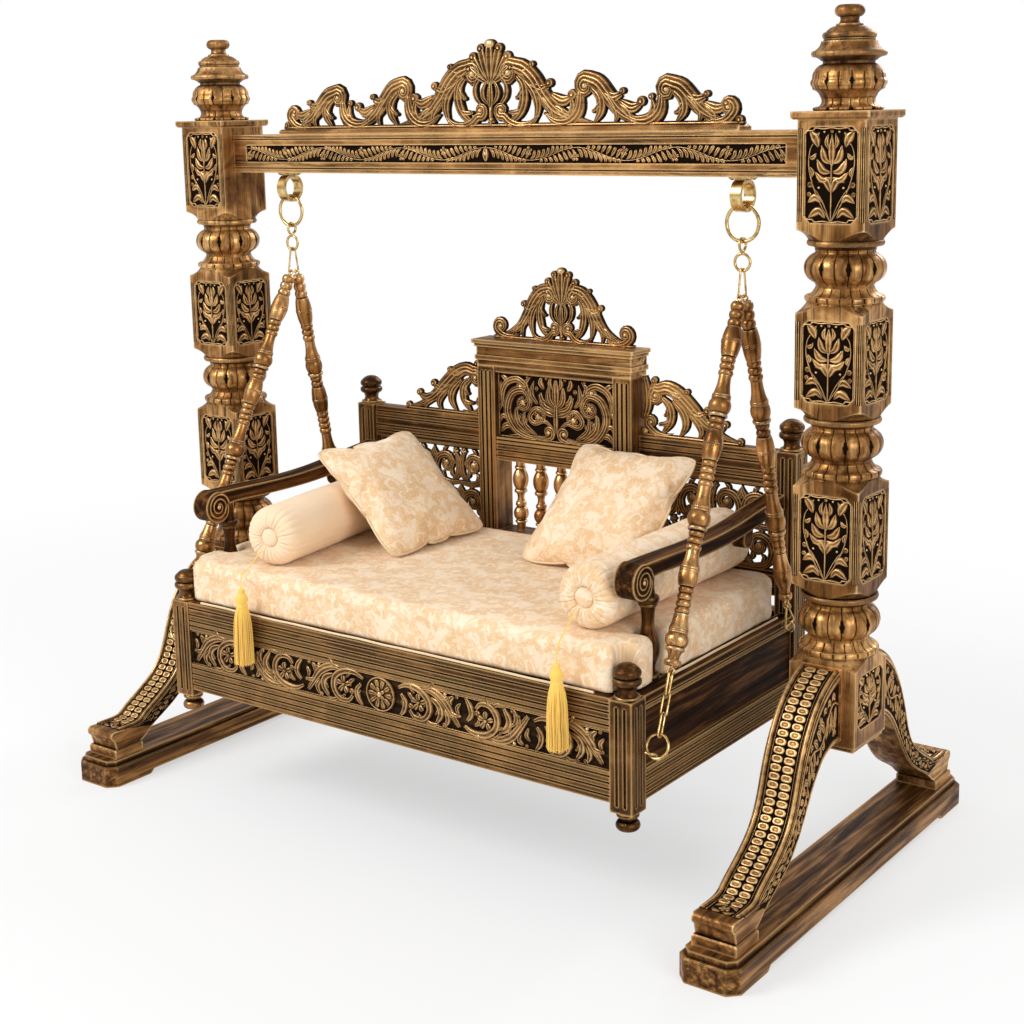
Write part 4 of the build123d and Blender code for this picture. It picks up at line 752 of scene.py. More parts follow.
def chair_crests():
    c = Carving(on_plane((0, 305, 1225), (1, 0, 0), (0, 0, 1)), half_thick=3.0)
    crest_heart(c, 0.70, 0.95, outer=False)
    t = Twin(c)
    t.scroll([(150, 14), (180, 5), (206, 8), (226, 22)], (212, 34), 1.1, 28, 8.5, ridges=3,
             start=0.3)
    c.frond([(-238, 3.5), (0, 3.5), (238, 3.5)], 9, 6, 1, start=1, end=1)
    made = c.piece("centre_crest_scrolls", crest_gold, "seat", "gilded_wood")
    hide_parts("centre_crest")

    c = Carving(on_plane((0, 305, 988), (1, 0, 0), (0, 0, 1)), half_thick=3.0)
    t = Twin(c, 1.0, 1.0, (262, 0))
    t.scroll([(312, 7), (254, 18), (202, 48), (158, 88), (118, 122), (82, 136), (56, 130)],
             (46, 112), 1.2, 46, 9.5, ridges=4, end=0.42, peak=0.5)
    t.acanthus([(66, 108), (92, 82), (92, 44), (66, 8)], 32, 9, 2, -1, start=0.5, end=0.3)
    t.frond([(100, 104), (134, 70), (140, 36), (120, 4)], 31, 9, 3, start=0.4, end=0.2)
    t.frond([(150, 72), (180, 46), (188, 22), (178, 3)], 28, 8.5, 3, start=0.4, end=0.2)
    t.frond([(206, 36), (232, 22), (242, 3)], 22, 8, 2, start=0.4, end=0.2)
    t.scroll([(100, 12), (72, 4), (46, 8), (28, 22)], (32, 38), -1.1, 25, 8.5, ridges=3)
    t.frond([(8, 44), (20, 84), (18, 128), (10, 164)], 34, 9, 3, start=0.5, end=0.5)
    t.frond([(14, 96), (34, 126), (42, 152)], 26, 9, 2, start=0.4, end=0.5)
    t.boss((42, 154), 11, 9, hollow=0.25)
    t.boss((12, 12), 12, 8)
    for end, knob in (((144, 130), 9), ((206, 84), 12), ((262, 52), 11)):
        t.frond([(end[0] - 64, end[1] + 2), (end[0] - 28, end[1] - 16),
                 (end[0] - 4, end[1] - 8)], 30, 9.5, 3, start=0.4, end=0.5, peak=0.6)
        t.boss(end, knob, 10, hollow=0.3)
    t.boss((306, 10), 11, 8, hollow=0.2)
    t.frond([(2, 3.5), (150, 3.5), (314, 3.5)], 9, 6, 1, start=1, end=1)
    made = c.piece("side_crest_scrolls", crest_gold, "seat", "gilded_wood")
    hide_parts("side_crests")


def fret_boards():
    c = Carving(on_plane((475, 306, 775), (1, 0, 0), (0, 0, 1)), half_thick=3.5)
    wide, tall = 213, 120
    left = Carving(on_plane((-475, 306, 775), (1, 0, 0), (0, 0, 1)), half_thick=3.5)
    for board, side in ((c, 1), (left, -1)):
        for z in (-tall + 6, tall - 6):
            board.frond([(-wide + 1, z), (0, z), (wide - 1, z)], 12, 4.5, 1, start=1, end=1)
        for x in (-wide + 7, wide - 7):
            board.frond([(x, -tall + 1), (x, 0), (x, tall - 1)], 14, 4.5, 1, start=1, end=1)
        for column in (-1.5, -0.5, 0.5, 1.5):
            for row in (-0.5, 0.5):
                turn = side * (1 if (column + row) % 2 else -1)
                t = Twin(board, 1.0, 1.0, (column * 98, row * 108), sides=(1,))
                flip = [(turn * x, z) for x, z in
                        ((-50, -50), (-14, -54), (26, -44), (42, -12), (30, 20), (4, 30))]
                t.scroll(flip, (turn * 2, 4), turn * 0.95, 25, 6, ridges=3, start=0.5, end=0.5)
                t.frond([(turn * 30, 10), (turn * 46, 32), (turn * 50, 54)], 23, 5.5, 3)
                t.frond([(turn * -18, -50), (turn * -40, -26), (turn * -44, 14),
                         (turn * -26, 52)], 25, 6, 3, start=0.4, end=0.2)
                t.frond([(turn * 40, -20), (turn * 50, -36), (turn * 46, -54)], 17, 5, 2)
                t.frond([(turn * -30, -38), (turn * -16, -26), (turn * -20, -6)], 17, 5, 2)
                t.frond([(turn * -36, 4), (turn * -20, 16), (turn * -16, 36)], 16, 5, 2)
                t.frond([(turn * 8, 30), (turn * 10, 44), (turn * -4, 54)], 15, 5, 2)
                t.frond([(turn * 10, -44), (turn * 18, -28), (turn * 8, -18)], 14, 5, 2)
                t.boss((turn * -34, 44), 13, 6, petals=5)
    c.points += left.points
    c.light_tones += left.light_tones
    c.faces += [[v + c.count for v in face] for face in left.faces]
    made = c.piece("fret_scrolls", carved_brown, "seat", "dark_wood")
    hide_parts("fret_panels")


def arm_volutes():
    """Spirals on both flanks of each arm's front end."""
    c = Carving(None)
    for side in (1, -1):
        for flank, x in ((1, 714), (-1, 660)):
            out = side * flank
            c.place = on_plane((side * x, -412, 811), (0, out, 0), (0, 0, 1))
            ring = [(out * r * cos(a), r * sin(a)) for a, r in
                    zip(np.linspace(0.1, 4.6 * pi, 40), np.linspace(38.5, 9, 40))]
            c.frond(ring, 7.5, 3.2, 1, start=1, end=0.8)
            c.boss((0, 0), 7, 4.5)
    c.piece("arm_volutes", carved_brown, "seat", "dark_wood")


# ---------------------------------------------------------------- reliefs
def flower(c, centre, size, height, petals=5):
    """Parted petals round a small bead."""
    for k in range(petals):
        a = 2 * pi * (k + 0.25) / petals
        c.frond([(centre[0] + size * r * cos(a), centre[1] + size * r * sin(a))
                 for r in (0.15, 0.6, 1.0)], size * 0.78, height, 2, start=0.35, end=0.5, peak=0.7)
    c.boss(centre, size * 0.24, height * 1.1, bright=0.8)


def spray(c, half, tall, height):
    """A flowering spray that fills a tall panel from its foot, drawn on 120 x 200."""
    t = Twin(c, half / 60.0, tall / 200.0)
    k = half / 60.0
    rise = tall / 200.0
    leaf = {"ridges": 2, "start": 0.15, "peak": 0.5}
    c.frond([(0, 3), (0, 60 * rise), (0, 124 * rise)], 4.8 * k, height, 1, start=0.9, end=0.9)
    t.frond([(1, 3), (24, 38), (44, 78), (55, 118), (53, 150), (45, 166)], 4.2 * k, height, 1,
            start=0.9, end=0.8)
    t.frond([(1, 3), (16, 36), (32, 62), (46, 76)], 4 * k, height, 1, start=0.9, end=0.7)
    t.frond([(33, 158), (40, 176), (55, 193)], 25 * k, height, **leaf)
    t.frond([(30, 190), (36, 180), (38, 168)], 9 * k, height, **leaf)
    t.frond([(55, 140), (46, 136), (38, 146)], 13 * k, height, **leaf)
    t.frond([(54, 118), (46, 106), (50, 94)], 12 * k, height, **leaf)
    t.boss((52, 80), 7 * k, height, hollow=0.7)
    t.frond([(14, 10), (30, 26), (57, 10)], 22 * k, height, **leaf)
    t.frond([(24, 42), (38, 54), (58, 42)], 21 * k, height, **leaf)
    t.boss((54, 60), 6 * k, height, hollow=0.6)
    t.frond([(1, 64), (13, 88), (33, 86)], 22 * k, height, **leaf)
    t.frond([(1, 96), (22, 90), (41, 108)], 17 * k, height, **leaf)
    t.frond([(1, 106), (22, 110), (36, 134)], 21 * k, height * 1.05, **leaf)
    t.frond([(1, 124), (17, 134), (25, 162)], 19 * k, height * 1.05, **leaf)
    t.frond([(5, 152), (13, 168), (8, 186)], 12 * k, height, **leaf)
    c.frond([(0, 116 * rise), (0, 150 * rise), (0, 184 * rise)], 20 * k, height * 1.1, **leaf)
    c.boss((0, tall * 0.955), 4.5 * k, height, hollow=0.5)
    t.boss((30, 74), 3.4 * k, height)
    t.boss((18, 190), 3.2 * k, height)


def cusped_rim(c, half, tall, clip, height):
    """The raised lip round a recess, cusped at its head and foot."""
    for sign in (1, -1):
        c.frond([(sign * half, clip), (sign * half, tall / 2), (sign * half, tall - clip)], 4.5,
                height, 1, start=1, end=1)
    for foot in (True, False):
        shape = [(-half, clip), (-half * 0.93, clip * 0.55), (-half * 0.7, clip * 0.5),
                 (-half * 0.62, 2), (-half * 0.3, 4), (0, 2)]
        shape += [(-x, z) for x, z in shape[-2::-1]]
        if not foot:
            shape = [(x, tall - z) for x, z in shape]
        c.frond(shape, 5.5, height, 1, start=1, end=1)


def post_panels(side):
    """The sprays on one post's blocks, with the beads that run up their corners."""
    centre = side * 1000.0
    levels = ((1590, 1836), (1182, 1402), (762, 998))
    total = Carving(None)
    for low, high in levels:
        foot = low + 17
        tall = high - low - 34
        for ax, ay in ((0, -1), (0, 1), (1, 0), (-1, 0)):
            if low == 1590 and ax == -side:
                continue
            depth = 83 - 5
            total.place = on_plane((centre + ax * depth, ay * depth, foot),
                                   (-ay, ax, 0), (0, 0, 1))
            total.ground([(-65, 16), (-49, 1), (49, 1), (65, 16), (65, tall - 16), (49, tall - 1),
                          (-49, tall - 1), (-65, tall - 16)])
            spray(total, 60, tall, 4.8)
            cusped_rim(total, 63.5, tall, 15, 5.8)
            for edge in (-76.0, 76.0):
                total.ground([(edge - 6, 2), (edge + 6, 2), (edge + 6, tall - 2),
                              (edge - 6, tall - 2)], 5.2)
                for bead in (edge - 2.6, edge + 2.6):
                    total.frond([(bead, 2), (bead, tall / 2), (bead, tall - 2)], 3.2, 1.4, 1,
                                start=1, end=1, base=5.1)
    for ax in (1, -1):
        total.place = on_plane((centre + ax * 80, 0, 423), (0, ax, 0), (0, 0, 1))
        tall = 571 - 406 - 34
        total.ground([(-67, 16), (-51, 1), (51, 1), (67, 16), (67, tall - 16), (51, tall - 1),
                      (-51, tall - 1), (-67, tall - 16)])
        spray(total, 62, tall, 4.8)
    total.piece("post_panels_right" if side > 0 else "post_panels_left", carved_gold, "stand",
                "gilded_wood")


def frieze():
    """The running vine along both faces of the beam."""
    c = Carving(None)
    for ay in (-1, 1):
        c.place = on_plane((0, ay * 32, 1758.5), (-ay, 0, 0), (0, 0, 1))
        c.ground([(-864, -22.6), (864, -22.6), (864, 22.6), (-864, 22.6)])
        t = Twin(c)
        pitch = 144.0
        waves = 6
        stem = [(x, 16 * cos(pi * x / pitch)) for x in np.arange(0, waves * pitch + 1, pitch / 6)]
        for first in range(0, waves * 6, 6):
            t.frond(stem[first:first + 8], 3.2, 5.0, 1, start=1, end=1)
        for x in np.arange(15.0, waves * pitch - 8, 14.4):
            z = 16 * cos(pi * x / pitch)
            lean = 1 if sin(pi * x / pitch) > 0 else -1
            for up in (1, -1):
                room = 20.5 - up * z
                if room < 7:
                    continue
                high = min(room, 25)
                root = (x - 3, z + up * 1.5)
                tip = (x + 3 + high * 0.4, z + up * high)
                t.frond([root, (x + 7 - lean * up * 3, z + up * high * 0.45), tip], 12.5, 5.4, 2,
                        start=0.1, end=0.45, peak=0.7)
        for k in range(1, waves + 1):
            x = k * pitch - 6
            up = 1 if k % 2 else -1
            flower(c, (x, up * 7), 12, 5.6)
            flower(c, (-x, up * 7), 12, 5.6)
        c.frond([(0, -21), (0, 0), (0, 21)], 24, 5.6, 2, start=0.1)
        c.boss((0, 0), 6, 7)
    c.piece("beam_vine", carved_gold, "stand", "gilded_wood")


def front_relief():
    """Scrolling vine with a rosette along the seat's front panel."""
    c = Carving(on_plane((0, -511, 435.5), (1, 0, 0), (0, 0, 1)))
    c.ground([(-687, -48), (687, -48), (687, 48), (-687, 48)], 0.3, 0.16)
    c.boss((0, 0), 47, 5.5, oval=0.98, bright=0.5)
    ring = [(44 * cos(a), 43 * sin(a)) for a in np.linspace(0, 2 * pi, 17)]
    c.frond(ring, 7, 8.5, 1, start=1, end=1, base=1.0)
    for k in range(10):
        a = 2 * pi * k / 10
        c.frond([(13 * cos(a), 13 * sin(a)), (24 * cos(a), 24 * sin(a)),
                 (38 * cos(a), 38 * sin(a))], 15, 5.5, 2, start=0.3, end=0.6, base=5.0, peak=0.7)
    for k in range(5):
        a = 2 * pi * (k + 0.5) / 5
        c.frond([(5 * cos(a), 5 * sin(a)), (19 * cos(a), 19 * sin(a))], 12, 5, 2, start=0.4,
                end=0.5, base=8.0)
    c.boss((0, 0), 8, 6.5, base=8.0)
    for unit, up in ((0, 1), (1, -1), (2, 1)):
        s = Twin(c, 1.0, up, (58 + unit * 208, 0))
        s.acanthus([(0, 28), (26, 40), (64, 38), (94, 18), (100, -12), (82, -36), (52, -38),
                    (36, -22)], 25, 11, 3, -1, ridges=2, start=0.4, end=0.5, peak=0.4, reach=0.7)
        s.boss((40, -12), 9, 10, hollow=0.3)
        for side in (1, -1):
            flower(c, s.at((66, 2), side), 24, 11)
        s.frond([(30, 22), (44, 12), (44, -2)], 15, 8, 2, start=0.3, end=0.3)
        s.acanthus([(4, -44), (18, -26), (22, -4), (8, 14)], 20, 9, 1, 1, ridges=2, start=0.4,
                   end=0.5, reach=0.7)
        s.acanthus([(66, 38), (106, 42), (142, 26), (168, -4), (192, -36)], 30, 11, 3, 1,
                   ridges=3, start=0.3, end=0.4, reach=0.8)
        s.acanthus([(100, 22), (128, 10), (136, -14), (120, -40)], 26, 10, 1, -1, ridges=2,
                   start=0.3, end=0.4, reach=0.8)
        s.frond([(146, 0), (158, -20), (150, -42)], 20, 9, 2, start=0.3, end=0.4)
        s.boss((146, -40), 8, 9, hollow=0.3)
        s.frond([(84, -36), (104, -46), (128, -42)], 16, 8, 2, start=0.3, end=0.3)
        s.frond([(176, 40), (164, 28), (168, 14)], 18, 8, 2, start=0.3, end=0.3)
        s.frond([(196, 26), (186, 12), (192, -6)], 15, 8, 2, start=0.3, end=0.3)
        s.boss((150, 40), 6, 8)
        s.boss((186, 40), 6, 8, hollow=0.4)
    for z in (-45.5, 45.5):
        c.frond([(-686, z), (0, z), (686, z)], 4, 6, 1, start=1, end=1)
    c.piece("front_vine", carved_brown, "seat", "dark_wood")


def back_relief():
    """The flowering tree on the centre panel of the back, on both faces."""
    for face, name in ((-1, "back_tree"), (1, "back_tree_rear")):
        y = 270 if face < 0 else 270 + 14
        c = Carving(on_plane((0, y, 943), (-face, 0, 0), (0, 0, 1)))
        c.ground([(-201, 1), (201, 1), (201, 188), (-201, 188)], 0.3)
        t = Twin(c)
        c.frond([(0, 26), (0, 66), (0, 108)], 20, 9, 2, start=0.6, end=0.6)
        c.frond([(0, 100), (0, 140), (0, 180)], 30, 10, 3, start=0.3, end=0.3)
        t.frond([(2, 96), (24, 122), (24, 160)], 24, 9.5, 3, start=0.3, end=0.3)
        t.frond([(2, 88), (40, 100), (58, 134)], 24, 9, 3, start=0.3, end=0.3)
        t.frond([(2, 76), (30, 82), (50, 98)], 18, 8, 2, start=0.3)
        t.scroll([(62, 16), (42, 4), (22, 8)], (26, 26), -1.0, 18, 8, ridges=2)
        t.scroll([(6, 34), (38, 58), (74, 50), (90, 66), (76, 88)], (60, 70), 0.9, 20, 9,
                 ridges=3, start=0.4)
        for side in (1, -1):
            flower(c, (side * 56, 74), 19, 10)
            flower(c, (side * 114, 108), 17, 10.5)
        t.scroll([(30, 14), (82, 4), (138, 22), (170, 74), (154, 128), (112, 142), (92, 116)],
                 (114, 106), 0.95, 32, 10, ridges=4, start=0.3, end=0.5, peak=0.4)
        t.acanthus([(92, 14), (132, 46), (138, 84), (118, 92)], 26, 9, 1, 1, start=0.3)
        t.acanthus([(66, 12), (106, 40), (112, 72), (98, 88)], 22, 9, 1, 1, start=0.3)
        t.scroll([(166, 66), (188, 108), (176, 154), (136, 172), (104, 156)], (122, 152), 0.8,
                 25, 9, ridges=3, start=0.3, end=0.4)
        t.acanthus([(62, 104), (84, 132), (76, 172)], 22, 9, 1, -1, start=0.3)
        t.frond([(90, 136), (104, 162), (86, 182)], 18, 8, 2)
        t.frond([(150, 30), (176, 34), (196, 10)], 23, 8, 3)
        t.frond([(164, 52), (186, 62), (197, 40)], 18, 8, 2)
        t.frond([(180, 118), (194, 134), (192, 164)], 18, 8, 2)
        t.frond([(162, 156), (178, 174), (196, 178)], 20, 8, 2)
        t.frond([(116, 14), (142, 6), (168, 8)], 16, 8, 2)
        t.frond([(178, 100), (192, 92), (197, 74)], 13, 7, 2)
        t.frond([(40, 150), (52, 168), (48, 184)], 20, 9, 2, start=0.3, end=0.4)
        t.frond([(30, 112), (46, 120), (52, 140)], 18, 9, 2, start=0.3, end=0.4)
        t.frond([(10, 150), (20, 168), (16, 186)], 16, 9, 2, start=0.3, end=0.4)
        t.frond([(84, 100), (92, 122), (84, 140)], 16, 8, 2, start=0.3, end=0.4)
        t.boss((66, 150), 8, 9, hollow=0.3)
        t.boss((98, 180), 6, 8, hollow=0.3)
        t.boss((32, 182), 6, 8, hollow=0.3)
        for z in (3, 186):
            c.frond([(-200, z), (0, z), (200, z)], 5, 6, 1, start=1, end=1)
        t.frond([(199, 2), (199, 94), (199, 187)], 5, 6, 1, start=1, end=1)
        c.piece(name, carved_brown, "seat", "dark_wood")


# ---------------------------------------------------------------- braces
def tree_of(name):
    mesh = nodes[name].data
    return BVHTree.FromPolygons([v.co for v in mesh.vertices],
                                [list(p.vertices) for p in mesh.polygons])


def brace_lines():
    """Outer and inner edges of the rear right brace's side, as (y, z) in mm, post to toe."""
    tree = tree_of("brace_rear_right")
    start = Vector((1.0, 0.086, 0.575))
    end = Vector((1.0, 0.586, 0.155))
    along = (end - start).normalized()
    out = Vector((0, -along.z, along.y))
    outer, inner = [], []
    for share in np.linspace(0.015, 0.985, 60):
        at = start.lerp(end, share)
        hit = tree.ray_cast(at + out * 0.6, -out)[0]
        outer.append((hit.y * 1000, hit.z * 1000))
    start = Vector((1.0, 0.087, 0.405))
    end = Vector((1.0, 0.49, 0.118))
    along = (end - start).normalized()
    out = Vector((0, -along.z, along.y))
    for share in np.linspace(0.02, 0.94, 60):
        at = start.lerp(end, share)
        hit = tree.ray_cast(at - out * 0.4, out)[0]
        inner.append((hit.y * 1000, hit.z * 1000))
    return np.array(outer), np.array(inner)


def along_line(line, count):
    far = np.concatenate([[0], np.cumsum(np.hypot(*np.diff(line, axis=0).T))])
    even = np.linspace(0, far[-1], count)
    return np.column_stack([np.interp(even, far, line[:, k]) for k in (0, 1)]), far[-1]


def braces():
    outer, inner = brace_lines()
    outer, length = along_line(outer, 200)
    inner, _ = along_line(inner, 200)
    slope = np.gradient(outer, axis=0)
    slope /= np.hypot(slope[:, 0], slope[:, 1])[:, None]
    normal = np.column_stack([-slope[:, 1], slope[:, 0]])
    steps = np.linspace(0, 1, 200)

    def face_place(sx, sy):
        """(across, along from the post, out) over the brace's outer face."""
        def place(p):
            share = np.clip(p[:, 1] / length, 0, 1)
            y = np.interp(share, steps, outer[:, 0]) + p[:, 2] * np.interp(share, steps, normal[:, 0])
            z = np.interp(share, steps, outer[:, 1]) + p[:, 2] * np.interp(share, steps, normal[:, 1])
            return np.column_stack([sx * 1000 + sy * p[:, 0], sy * y, z]) * MM
        return place

    def side_place(sx, sy, flank):
        """(across 0..1 from the inner edge, along, out) over one flank; along in mm."""
        def place(p):
            share = np.clip(p[:, 0] / length, 0, 1)
            edge = np.column_stack([np.interp(share, steps, outer[:, k]) for k in (0, 1)])
            under = np.column_stack([np.interp(share, steps, inner[:, k]) for k in (0, 1)])
            middle = (edge + under) / 2
            reach = (edge - under) / 2
            at = middle + reach * (p[:, 1:2] / 50.0)
            return np.column_stack([sx * 1000 + flank * (51 + p[:, 2]), sy * at[:, 0],
                                    at[:, 1]]) * MM
        return place

    for sx in (1, -1):
        for sy in (1, -1):
            c = Carving(face_place(sx, sy))
            # The strip under the studs is painted in the darkest shade, as the ground.
            strip = np.zeros((60, 3, 3))
            strip[:, :, 1] = np.linspace(4, length - 4, 60)[:, None]
            strip[:, :, 0] = np.array([36, 0, -36])[None, :]
            strip[:, :, 2] = 0.4
            c.surface(strip, np.zeros((60, 3)))
            pitch = 19.6
            for z in np.arange(18, length - 52, pitch):
                for x in (-15.6, 15.6):
                    c.stud((x, z), 14.2, 8.8, 5.6)
                    c.frond([(x - 9, z + pitch / 2), (x, z + pitch / 2), (x + 9, z + pitch / 2)],
                            2.0, 3.0, 1, start=0.4, end=0.4, bright=0.6)
            toe = length - 44
            for side in (1, -1):
                c.frond([(side * 2, toe), (side * 14, toe - 2), (side * 27, toe + 12)], 14, 4.5, 2,
                        start=0.3)
                c.frond([(side * 4, toe + 34), (side * 18, toe + 34), (side * 26, toe + 22)], 12,
                        4.5, 2, start=0.3)
            flower(c, (0, toe + 18), 13, 4.5)
            for x, wide, high in ((43.5, 14, 7.5), (-43.5, 14, 7.5), (33, 2.4, 3), (-33, 2.4, 3)):
                c.frond([(x, y) for y in np.linspace(3, length - 3, 30)], wide, high, 1, start=1,
                        end=1)
            for flank in (1, -1):
                c.place = side_place(sx, sy, flank)
                # The strip under the flank's vine is painted in the darkest shade, as the ground.
                strip = np.zeros((60, 3, 3))
                strip[:, :, 0] = np.linspace(6, length - 20, 60)[:, None]
                strip[:, :, 1] = np.array([-40, 0, 36])[None, :]
                strip[:, :, 2] = 0.4
                c.surface(strip, np.zeros((60, 3)))
                wave = [(x, 16 * sin(x / 27.0)) for x in np.linspace(12, length - 28, 44)]
                for first in range(0, 40, 8):
                    c.frond(wave[first:first + 10], 5, 3.4, 1, start=0.9, end=0.9)
                for k in range(int((length - 60) / 26)):
                    x = 24 + k * 26
                    up = 1 if sin(x / 27.0) < 0 else -1
                    c.frond([(x, -up * 8), (x + 8, up * 10), (x + 22, up * 24)], 20, 3.6, 3,
                            start=0.2)
                    c.frond([(x + 4, -up * 18), (x + 14, -up * 28), (x + 24, -up * 22)], 13, 3.4,
                            2, start=0.2)
                for x in range(40, int(length) - 40, 85):
                    flower(c, (x, 22 if sin(x / 27.0) < 0 else -22), 14, 4)
                for z, wide in ((43, 9), (-44, 8)):
                    c.frond([(x, z) for x in np.linspace(4, length - 14, 30)], wide, 3.6, 1,
                            start=1, end=1)
            c.piece(f"brace_carving_{'right' if sx > 0 else 'left'}_{'rear' if sy > 0 else 'front'}",
                    carved_gold, "stand", "gilded_wood")


# ---------------------------------------------------------------- gadrooned turnings
def gadroons():
    """Lobes parted by cuts painted dark as shade on the beads, bells and finials of both posts."""
    tree = tree_of("post_right")
    finial = tree_of("finials")

    def radius_at(z, source):
        turn = radians(20)
        out = Vector((cos(turn), sin(turn), 0))
        start = Vector((1.0, 0, z * MM)) + out * 0.3
        hit = source.ray_cast(start, -out)[0]
        return (hit - Vector((1.0, 0, z * MM))).length * 1000

    def lobes(c, source, low, high, count, depth, cut, side):
        """A smooth band parted by count narrow cuts, every second one shorter."""
        rows = 21
        share = np.linspace(0, 1, rows)
        radii = np.array([radius_at(low + (high - low) * t, source) for t in share])
        angle = np.linspace(0, 2 * pi, count * 12 + 1)
        phase = angle * count / (2 * pi) + 0.5
        near = np.abs((phase % 1) - 0.5) * 2
        odd = np.floor(phase) % 2
        wide = np.where(odd[None, :] > 0, np.array([cut(t, True) for t in share])[:, None],
                        np.array([cut(t, False) for t in share])[:, None])
        open_ = np.clip((near[None, :] - wide) / 0.1, 0, 1)
        fade = np.sin(pi * np.clip(share, 0.03, 0.97)) ** 0.5
        out = 0.6 + depth * fade[:, None] * open_ * (0.8 + 0.2 * np.sqrt(near))[None, :]
        r = radii[:, None] + out
        z = low + (high - low) * share
        grid = np.stack([side * 1000 + r * np.cos(angle)[None, :], r * np.sin(angle)[None, :],
                         np.broadcast_to(z[:, None], r.shape)], axis=2)
        # Painted shade fills the cuts; the lobes are painted lighter.
        light_tone = open_ * (0.56 + 0.06 * near[None, :] + 0.1 * fade[:, None])
        c.surface(grid.transpose(1, 0, 2)[::-1], light_tone.T[::-1])

    def lens(t, long):
        """Half width of a bead's cut at share t of its height: a diamond, or two short slits."""
        if long:
            return 0.09 + 0.26 * max(0.0, 1 - abs(t - 0.5) / 0.2)
        return 0.08 if 0.1 < t < 0.36 or 0.68 < t < 0.9 else 0.0

    def slit(t, long):
        return 0.1 if 0.2 < t < (0.92 if long else 0.6) else 0.0

    for side in (1, -1):
        c = Carving(lambda p: p * MM)
        for top, low in ((1590, 1402), (1182, 998), (762, 571)):
            unit = (top - low) / 143.0
            bead = low + 44 * unit
            lobes(c, tree, bead + 3 * unit, bead + 65 * unit, 18, 1.8, lens, side)
            lobes(c, tree, low + 15 * unit, low + 43 * unit, 20, 1.0, slit, side)
        box_low, box_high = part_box("finials")
        height = (box_high.z * 1000) - box_low.z * 1000
        base = box_low.z * 1000
        lobes(c, finial, base + 0.13 * height, base + 0.30 * height, 18, 1.6, lens, side)
        lobes(c, finial, base + 0.36 * height, base + 0.50 * height, 18, 1.6, lens, side)
        c.piece("gadroons_right" if side > 0 else "gadroons_left", lobed_gold, "stand",
                "gilded_wood")


beam_crest()
chair_crests()
fret_boards()
arm_volutes()
for post_side in (1, -1):
    post_panels(post_side)
frieze()
front_relief()
back_relief()
braces()
gadroons()


# ---------------------------------------------------------------- soft goods
def mesh_piece(name, points, faces, where, material, body):
    """A smooth mesh piece in metres; where is each point's place on the flat cloth."""
    mesh = bpy.data.meshes.new(name)
    mesh.from_pydata(np.asarray(points, float).tolist(), [], faces)
    cloth = mesh.attributes.new("cloth", "FLOAT_VECTOR", "POINT")
    cloth.data.foreach_set("vector", np.asarray(where, np.float32).reshape(-1))
    mesh.polygons.foreach_set("use_smooth", [True] * len(mesh.polygons))
    mesh.materials.append(material)
    made = bpy.data.objects.new(name, mesh)
    scene.collection.objects.link(made)
    if body:
        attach(made, body)
    return made


def grid_faces(rows, columns, start=0, wrap=False):
    index = np.arange(rows * columns).reshape(rows, columns) + start
    if wrap:
        index = np.concatenate([index, index[:, :1]], axis=1)
    quads = np.stack([index[:-1, :-1], index[1:, :-1], index[1:, 1:], index[:-1, 1:]], -1)
    return quads.reshape(-1, 4).tolist()


def places(piece):
    flat = np.zeros(len(piece.data.vertices) * 3, np.float32)
    piece.data.vertices.foreach_get("co", flat)
    return flat.reshape(-1, 3).astype(float)


def put_places(piece, points):
    piece.data.vertices.foreach_set("co", points.astype(np.float32).reshape(-1))
    piece.data.update()


def inflate(piece, pressure, frames, cap, bending=0.6, shrink=0.0):
    """Puffs a closed mesh with Blender's cloth, each point moved by cap metres at most."""
    before = places(piece)
    cloth = piece.modifiers.new("puff", "CLOTH")
    settings = cloth.settings
    settings.quality = 5
    settings.mass = 0.25
    settings.tension_stiffness = 30
    settings.compression_stiffness = 30
    settings.shear_stiffness = 12
    settings.bending_stiffness = bending
    settings.use_pressure = True
    settings.uniform_pressure_force = pressure
    settings.shrink_min = shrink
    settings.effector_weights.gravity = 0
    cloth.point_cache.frame_start = 1
    cloth.point_cache.frame_end = frames
    for step in range(1, frames + 1):
        scene.frame_set(step)
    seen = piece.evaluated_get(bpy.context.evaluated_depsgraph_get())
    flat = np.zeros(len(seen.data.vertices) * 3, np.float32)
    seen.data.vertices.foreach_get("co", flat)
    piece.modifiers.clear()
    scene.frame_set(1)
    move = flat.reshape(-1, 3) - before
    far = np.linalg.norm(move, axis=1)
    put_places(piece, before + move * np.minimum(1, cap / np.maximum(far, 1e-9))[:, None])


def subdivide(piece, levels=1):
    finer = piece.modifiers.new("finer", "SUBSURF")
    finer.levels = levels
    finer.render_levels = levels


def ripple(points, size, depth, seed):
    """Soft noise for each point, -depth to depth."""
    shift = Vector((seed * 3.1, seed * 1.7, seed * 0.9))
    return np.array([noise.noise(Vector(p) / size + shift) for p in points]) * depth


